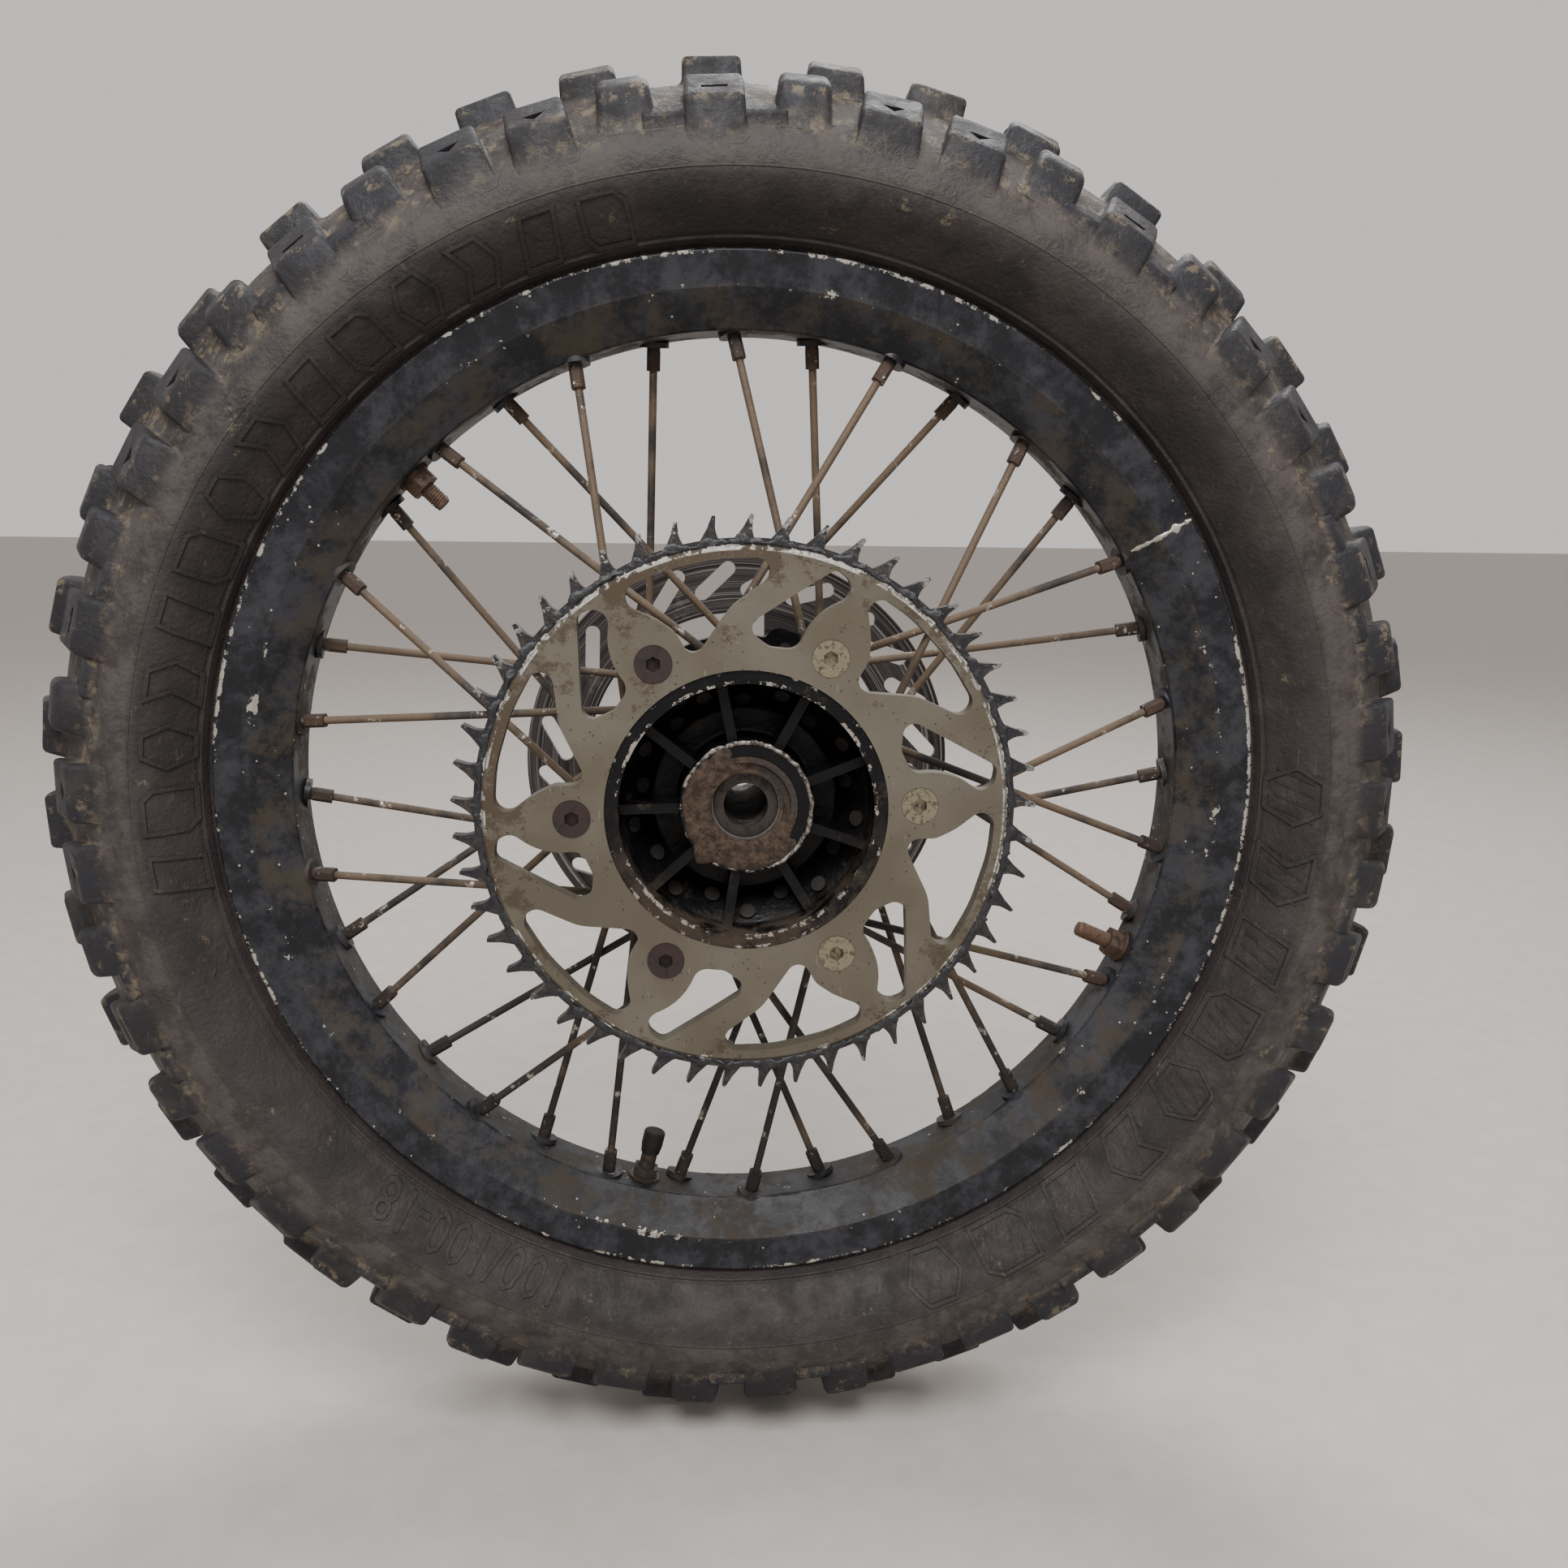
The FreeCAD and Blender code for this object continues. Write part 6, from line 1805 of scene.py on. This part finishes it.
@dataclass
class OilSeal:
    """A lipped oil seal, pressed in beside a bearing."""

    side: Side
    lip: float = 0.0152
    case: float = 0.02345
    inner_face: float = 0.0503
    outer_face: float = 0.0556
    steps: int = 128

    def build(self) -> Piece:
        """Spin the seal's section: flat case, dished web and a rolled lip.

        Returns:
            The seal.
        """
        a, b = self.inner_face, self.outer_face
        corners = (
            (self.case / MM, a / MM, 0.4),
            (self.case / MM, b / MM, 0.6),
            (self.case / MM - 3.2, b / MM, 0.5),
            (self.case / MM - 3.9, b / MM - 1.3, 0.6),
            (self.lip / MM + 1.9, b / MM - 1.9, 0.5),
            (self.lip / MM + 1.5, b / MM - 0.5, 0.4),
            (self.lip / MM, b / MM - 0.9, 0.3),
            (self.lip / MM, b / MM - 3.0, 0.3),
            (self.lip / MM + 1.6, a / MM, 0.4),
        )
        points = [(r * MM, y * MM * self.side.value) for r, y in rounded(corners, 4)]
        name = f"{self.side.name.lower()}_side_seal"
        piece = Bench.spin(Bench.ring(f"{name}_lipped", points), self.steps)
        Bench.smooth(piece, 50.0)
        finish = CakedDirt("seal_rubber_and_dirt")
        Bench.hand_over(piece, "wheel", "seal_rubber", finish, (name,))
        return piece


@dataclass
class DirtCake:
    """Rusty dirt baked over the drive-side seal, thickest at the lower left."""

    inner: float = 0.0156
    outer: float = 0.0285
    face: float = -0.0560
    rings: int = 22
    steps: int = 220
    middle: float = 235.0
    spread: float = 105.0
    fade_out: float = 25.0
    ragged: Span = (0.0016, 0.0007)
    hanging: tuple[float, float, float] = (222.0, 9.0, 0.0042)
    height: float = 0.0017
    sink: float = 0.0026

    def build(self) -> Piece:
        """Spin a flat ring and raise lumps where the dirt lies.

        Returns:
            The dirt.
        """
        reach = self.outer - self.inner
        top = [(self.inner + reach * k / self.rings, self.face) for k in range(self.rings + 1)]
        points = top + [(self.outer, self.face + 0.0008), (self.inner, self.face + 0.0008)]
        piece = Bench.spin(Bench.ring("drive_side_dirt", points), self.steps)
        for vertex in piece.data.vertices:
            vertex.co = self.lumped(vertex.co)
        Bench.smooth(Bench.tidy(piece), 70.0)
        Bench.hand_over(piece, "wheel", "seal_rubber", CakedDirt("seal_rubber_and_dirt"))
        return piece

    def lumped(self, place: Vector) -> Vector:
        """Where a point of the flat ring goes.

        Args:
            place: A point of the flat ring.

        Returns:
            Its new place.
        """
        flat = Vector((place.x, 0.0, place.z))
        radius, way = flat.length, flat.normalized()
        turn = math.degrees(math.atan2(place.x, place.z)) % 360
        off = abs((turn - self.middle + 180) % 360 - 180)
        cover = 1 - min(max((off - self.spread) / self.fade_out, 0.0), 1.0)
        across = (radius - self.inner) / (self.outer - self.inner)
        broad, fine = self.ragged
        ragged = noise.noise(flat / 0.005) * broad + noise.noise(flat / 0.0016) * fine
        place_of, width, drop = self.hanging
        hanging = math.exp(-(((turn - place_of) / width) ** 2)) * drop
        moved = way * (radius + across**3 * (ragged + hanging) * cover)
        dome = math.sin(math.pi * min(max(across, 0.0), 1.0)) ** 0.4
        lump = 0.5 + noise.noise(flat / 0.0045) * 0.55 + noise.noise(flat / 0.0014) * 0.3
        height = self.height * dome * max(lump, 0.05)
        sunk = (1 - cover) * self.sink
        if place.y > self.face + 0.0001:
            return moved + Vector((0.0, place.y + sunk, 0.0))
        return moved + Vector((0.0, place.y - height * cover + sunk, 0.0))


@dataclass
class TornLip:
    """A shiny torn strip of metal that stands round the right of the seal."""

    radius: float = 0.0293
    face: float = -0.0558
    first: float = 305.0
    last: float = 520.0
    thickness: float = 0.0006
    half_width: float = 0.00045
    height: float = 0.0004
    steps: int = 150

    def build(self) -> Piece:
        """Bend a narrow strip round the boss and wave its edges.

        Returns:
            The strip.
        """
        Bench.clear()
        bpy.ops.mesh.primitive_grid_add(x_subdivisions=self.steps, y_subdivisions=5, size=2.0)
        piece = Bench.new("drive_side_torn_lip")
        for vertex in piece.data.vertices:
            along, across = (vertex.co.x + 1) / 2, vertex.co.y
            turn = self.first + (self.last - self.first) * along
            ends = min(along, 1 - along) * 12
            taper = min(max(ends, 0.05), 1.0)
            seed = on_wheel(5.0, turn)
            wave = noise.noise(seed) * 0.0006 + noise.noise(seed * 3.1) * 0.0003
            radius = self.radius + wave * 1.5 + across * (self.half_width + wave * 0.5) * taper
            rise = 0.0001 + self.height * (1 - across * across) * taper + wave * 0.6
            vertex.co = on_wheel(radius, turn, self.face - rise)
        Bench.smooth(Bench.tidy(Bench.thicken(piece, self.thickness, 1.0)), 50.0)
        finish = Metal(
            "torn_metal", (0.36, 0.33, 0.30), (0.030, 0.024, 0.020), 0.40, 0.34, 0.8, 0.002
        )
        Bench.hand_over(piece, "wheel", "seal_rubber", finish)
        return piece


@dataclass
class LockStuds:
    """The two rim lock studs with a real thread."""

    pitch: float = 0.00125
    crest: float = 0.0040
    root: float = 0.00336
    start: float = 0.0010
    plain: float = 0.0022
    chamfer: float = 0.0007
    angles: tuple[float, float] = (113.5, 313.5)

    def build(self, node: Piece) -> Piece:
        """Thread both studs to the length that the plain ones have.

        Args:
            node: The plain studs, whose reach is kept.

        Returns:
            Both studs as one piece.
        """
        parts = []
        for angle in self.angles:
            way = on_wheel(1.0, angle)
            reach = [v.co.dot(way) for v in node.data.vertices if v.co.dot(way) > 0.1]
            for part in self.stud(max(reach) - min(reach)):
                place = Matrix.Translation((0.0, 0.0, min(reach)))
                part.data.transform(Matrix.Rotation(math.radians(angle), 4, "Y") @ place)
                parts.append(part)
        piece = Bench.smooth(Bench.join("rim_lock_threaded_studs", parts), 35.0)
        finish = Metal(
            "rusty_thread", (0.105, 0.062, 0.036), (0.026, 0.018, 0.014), 0.48, 0.6, 0.3, 0.003
        )
        Bench.hand_over(piece, "wheel", "rusty_steel", finish, ("rim_lock_studs",))
        return piece

    def stud(self, length: float) -> list[Piece]:
        """A threaded surface and the core that closes its end, along Z from zero.

        Args:
            length: Length of the stud, in metres.

        Returns:
            The thread and the core.
        """
        Bench.clear()
        bpy.ops.mesh.primitive_circle_add(vertices=5, radius=1.0)
        thread = Bench.new("thread")
        marks = (
            (self.root, 0.0),
            (self.crest, 0.42),
            (self.crest, 0.58),
            (self.root, 0.96),
            (self.root, 1.0),
        )
        for vertex, (radius, share) in zip(thread.data.vertices, marks):
            vertex.co = (radius, 0.0, share * self.pitch)
        Bench.choose_edges(thread, lambda edge: set(edge.vertices) == {0, 4})
        bpy.ops.mesh.delete(type="EDGE")
        bpy.ops.object.mode_set(mode="OBJECT")
        screw = thread.modifiers.new("screw", "SCREW")
        screw.axis, screw.angle, screw.screw_offset = "Z", FULL_TURN, self.pitch
        screw.steps = screw.render_steps = 24
        screw.iterations = max(int((length - self.plain) / self.pitch), 1)
        screw.use_merge_vertices, screw.merge_threshold = True, 1e-6
        Bench.apply(thread)
        with Bench.editing(thread):
            bpy.ops.mesh.remove_doubles(threshold=1e-6)
            bpy.ops.mesh.fill_holes(sides=0)
        Bench.tidy(thread)
        thread.data.transform(Matrix.Translation((0.0, 0.0, self.start)))
        Bench.clear()
        bpy.ops.mesh.primitive_cylinder_add(
            vertices=32, radius=self.root + 0.0002, depth=length, location=(0.0, 0.0, length / 2)
        )
        core = Bench.new("core")
        heights = [vertex.co.z for vertex in core.data.vertices]
        level = {
            edge.index
            for edge in core.data.edges
            if abs(heights[edge.vertices[0]] - heights[edge.vertices[1]]) < 1e-6
        }
        Bench.choose_edges(core, lambda edge: edge.index in level)
        bpy.ops.mesh.bevel(offset=self.chamfer, segments=2)
        bpy.ops.object.mode_set(mode="OBJECT")
        return [thread, core]


# ---------------------------------------------------------------- scene


@dataclass(frozen=True)
class Studio:
    """Camera, lights and the floor that the wheel stands on."""

    place: Corner = (-0.0219, -0.6524, 0.1244)
    right: Corner = (0.998, -0.0624, 0.0119)
    up: Corner = (0.0, 0.187, 0.982)
    lens: float = 31.38
    floor_size: float = 60.0

    def build(self, floor_height: float) -> None:
        """Add everything that isn't part of the wheel.

        Args:
            floor_height: Height of the floor, in metres.
        """
        self.floor(floor_height)
        self.area("key", (-0.12, -1.05, 1.25), 0.8, 34.0)
        self.area("back", (0.5, 1.5, 2.2), 1.4, 60.0)
        world = bpy.data.worlds.new("room")
        world.use_nodes = True
        world.node_tree.nodes["Background"].inputs[0].default_value = (0.88, 0.835, 0.80, 1.0)
        world.node_tree.nodes["Background"].inputs[1].default_value = 0.86
        bpy.context.scene.world = world
        self.camera()

    def camera(self) -> None:
        """Add the camera and look through it."""
        right, up = Vector(self.right).normalized(), Vector(self.up)
        back = right.cross(up).normalized()
        up = back.cross(right)
        data = bpy.data.cameras.new("camera")
        data.lens, data.sensor_width = self.lens, 36.0
        data.clip_start, data.clip_end = 0.01, 200.0
        camera = bpy.data.objects.new("camera", data)
        turned = Matrix((right, up, back)).transposed().to_4x4()
        camera.matrix_world = Matrix.Translation(self.place) @ turned
        bpy.context.scene.collection.objects.link(camera)
        bpy.context.scene.camera = camera

    def floor(self, height: float) -> None:
        """Add a plain pale floor.

        Args:
            height: Height of the floor, in metres.
        """
        Bench.clear()
        bpy.ops.mesh.primitive_plane_add(size=self.floor_size, location=(0.0, 0.0, height))
        floor = Bench.new("floor")
        paint = Paint("plain_floor")
        dust = paint.grain(0.02, 4.0, 0.6)
        colour = paint.mix(paint.fade(dust, 0.3, 0.7), (0.44, 0.41, 0.385), (0.47, 0.44, 0.415))
        floor.data.materials.append(paint.close(colour, 0.85, 0.0, dust, 0.0002, 0.2))

    @staticmethod
    def area(name: str, place: Corner, size: float, watts: float) -> None:
        """Add a soft square light that faces the wheel.

        Args:
            name: Name of the light.
            place: Where it stands, in metres.
            size: Length of its side, in metres.
            watts: Power.
        """
        data = bpy.data.lights.new(name, "AREA")
        data.shape, data.size, data.energy = "SQUARE", size, watts
        light = bpy.data.objects.new(name, data)
        light.location = place
        light.rotation_euler = Vector(place).to_track_quat("Z", "Y").to_euler()
        bpy.context.scene.collection.objects.link(light)


@dataclass
class Dresser:
    """Gives every CAD node its finish."""

    spoke: Finish = RustyWire("rusty_spokes")
    nipple: Finish = RustyWire(
        "rusty_nipples", (0.052, 0.031, 0.020), (0.015, 0.012, 0.011), grain_size=0.004
    )
    plated: Finish = Metal(
        "plated_bolts", (0.27, 0.245, 0.17), (0.055, 0.045, 0.030), 0.46, 0.42, 0.85, 0.003
    )
    dark: Finish = Metal(
        "dark_bolts", (0.040, 0.026, 0.025), (0.014, 0.010, 0.010), 0.46, 0.48, 0.5, 0.004
    )
    bearing: Finish = Metal(
        "bearing_steel", (0.052, 0.044, 0.040), (0.020, 0.013, 0.010), 0.45, 0.42, 0.6, 0.004
    )
    cage: Finish = Metal(
        "cage_steel", (0.35, 0.33, 0.30), (0.12, 0.10, 0.08), 0.55, 0.4, 0.85, 0.006
    )
    shield: Finish = Metal(
        "shield_steel", (0.30, 0.28, 0.26), (0.10, 0.08, 0.06), 0.52, 0.42, 0.85, 0.006
    )
    # The distance tube is near-black and not metallic: painted shade for the dark bore of the hub.
    spacer: Finish = Metal(
        "spacer_steel", (0.008, 0.007, 0.007), (0.004, 0.0035, 0.003), 0.48, 0.75, 0.0, 0.008
    )
    rusty: Finish = Metal(
        "rusty_nuts", (0.075, 0.043, 0.027), (0.020, 0.014, 0.011), 0.46, 0.62, 0.30, 0.004
    )
    brass: Finish = Metal(
        "tarnished_brass", (0.050, 0.038, 0.028), (0.016, 0.012, 0.010), 0.46, 0.55, 0.3, 0.004
    )
    rubber: Finish = Soft("tube_rubber")
    cap: Finish = Soft("cap_plastic", (0.0045, 0.0050, 0.0055), (0.022, 0.019, 0.016), 0.6)
    rim: Finish = RimPaint("chipped_rim_paint")
    hub: Finish = HubPaint("satin_hub_paint")
    sprocket: Finish = SprocketAlloy("anodised_alloy")
    disc: Finish = DiscSteel("rubbed_disc_steel")

    def table(self) -> dict[str, Finish]:
        """The finish for each kind of node, by a part of its name.

        Returns:
            The finishes.
        """
        return {
            "spokes": self.spoke, "nipples": self.nipple, "hub_shell": self.hub,
            "sprocket_bolts_plated": self.plated, "sprocket_bolts_dark": self.dark,
            "sprocket_washers": self.plated, "sprocket_nuts": self.plated,
            "sprocket": self.sprocket, "brake_disc_bolts": self.dark, "brake_disc": self.disc,
            "inner_ring": self.bearing, "outer_ring": self.bearing, "balls": self.bearing,
            "cage": self.cage, "shields": self.shield, "distance_tube": self.spacer,
            "rim_lock_pads": self.rubber, "rim_lock_washers": self.rusty,
            "rim_lock_nuts": self.rusty, "rim_lock_studs": self.rusty, "valve_cap": self.cap,
            "valve": self.brass, "inner_tube": self.rubber, "rim_band": self.rubber,
            "rim": self.rim, "seal": self.rubber, "tyre": self.rubber,
        }

    def dress(self, nodes: dict[str, Piece]) -> None:
        """Put each node's finish in all its slots.

        Args:
            nodes: The CAD nodes by name.
        """
        table = self.table()
        for name, node in nodes.items():
            kind = next(key for key in table if key in name)
            made = table[kind].material()
            if not node.data.materials:
                node.data.materials.append(made)
            for index in range(len(node.data.materials)):
                node.data.materials[index] = made
            LOG.info("%s: %s", name, made.name)


def main() -> None:
    """Build every sub-assembly in order, dress the nodes and light the scene."""
    logging.basicConfig(level=logging.INFO, format="%(message)s")
    nodes = frame["nodes"]
    Tyre().build()
    SprocketGrease().build()
    RimWeld().build(nodes["rim"])
    for side in Side:
        OilSeal(side).build()
    DirtCake().build()
    TornLip().build()
    LockStuds().build(nodes["rim_lock_studs"])
    Dresser().dress(nodes)
    Studio().build(cad_box[0][2])


if __name__ == "__main__":
    main()
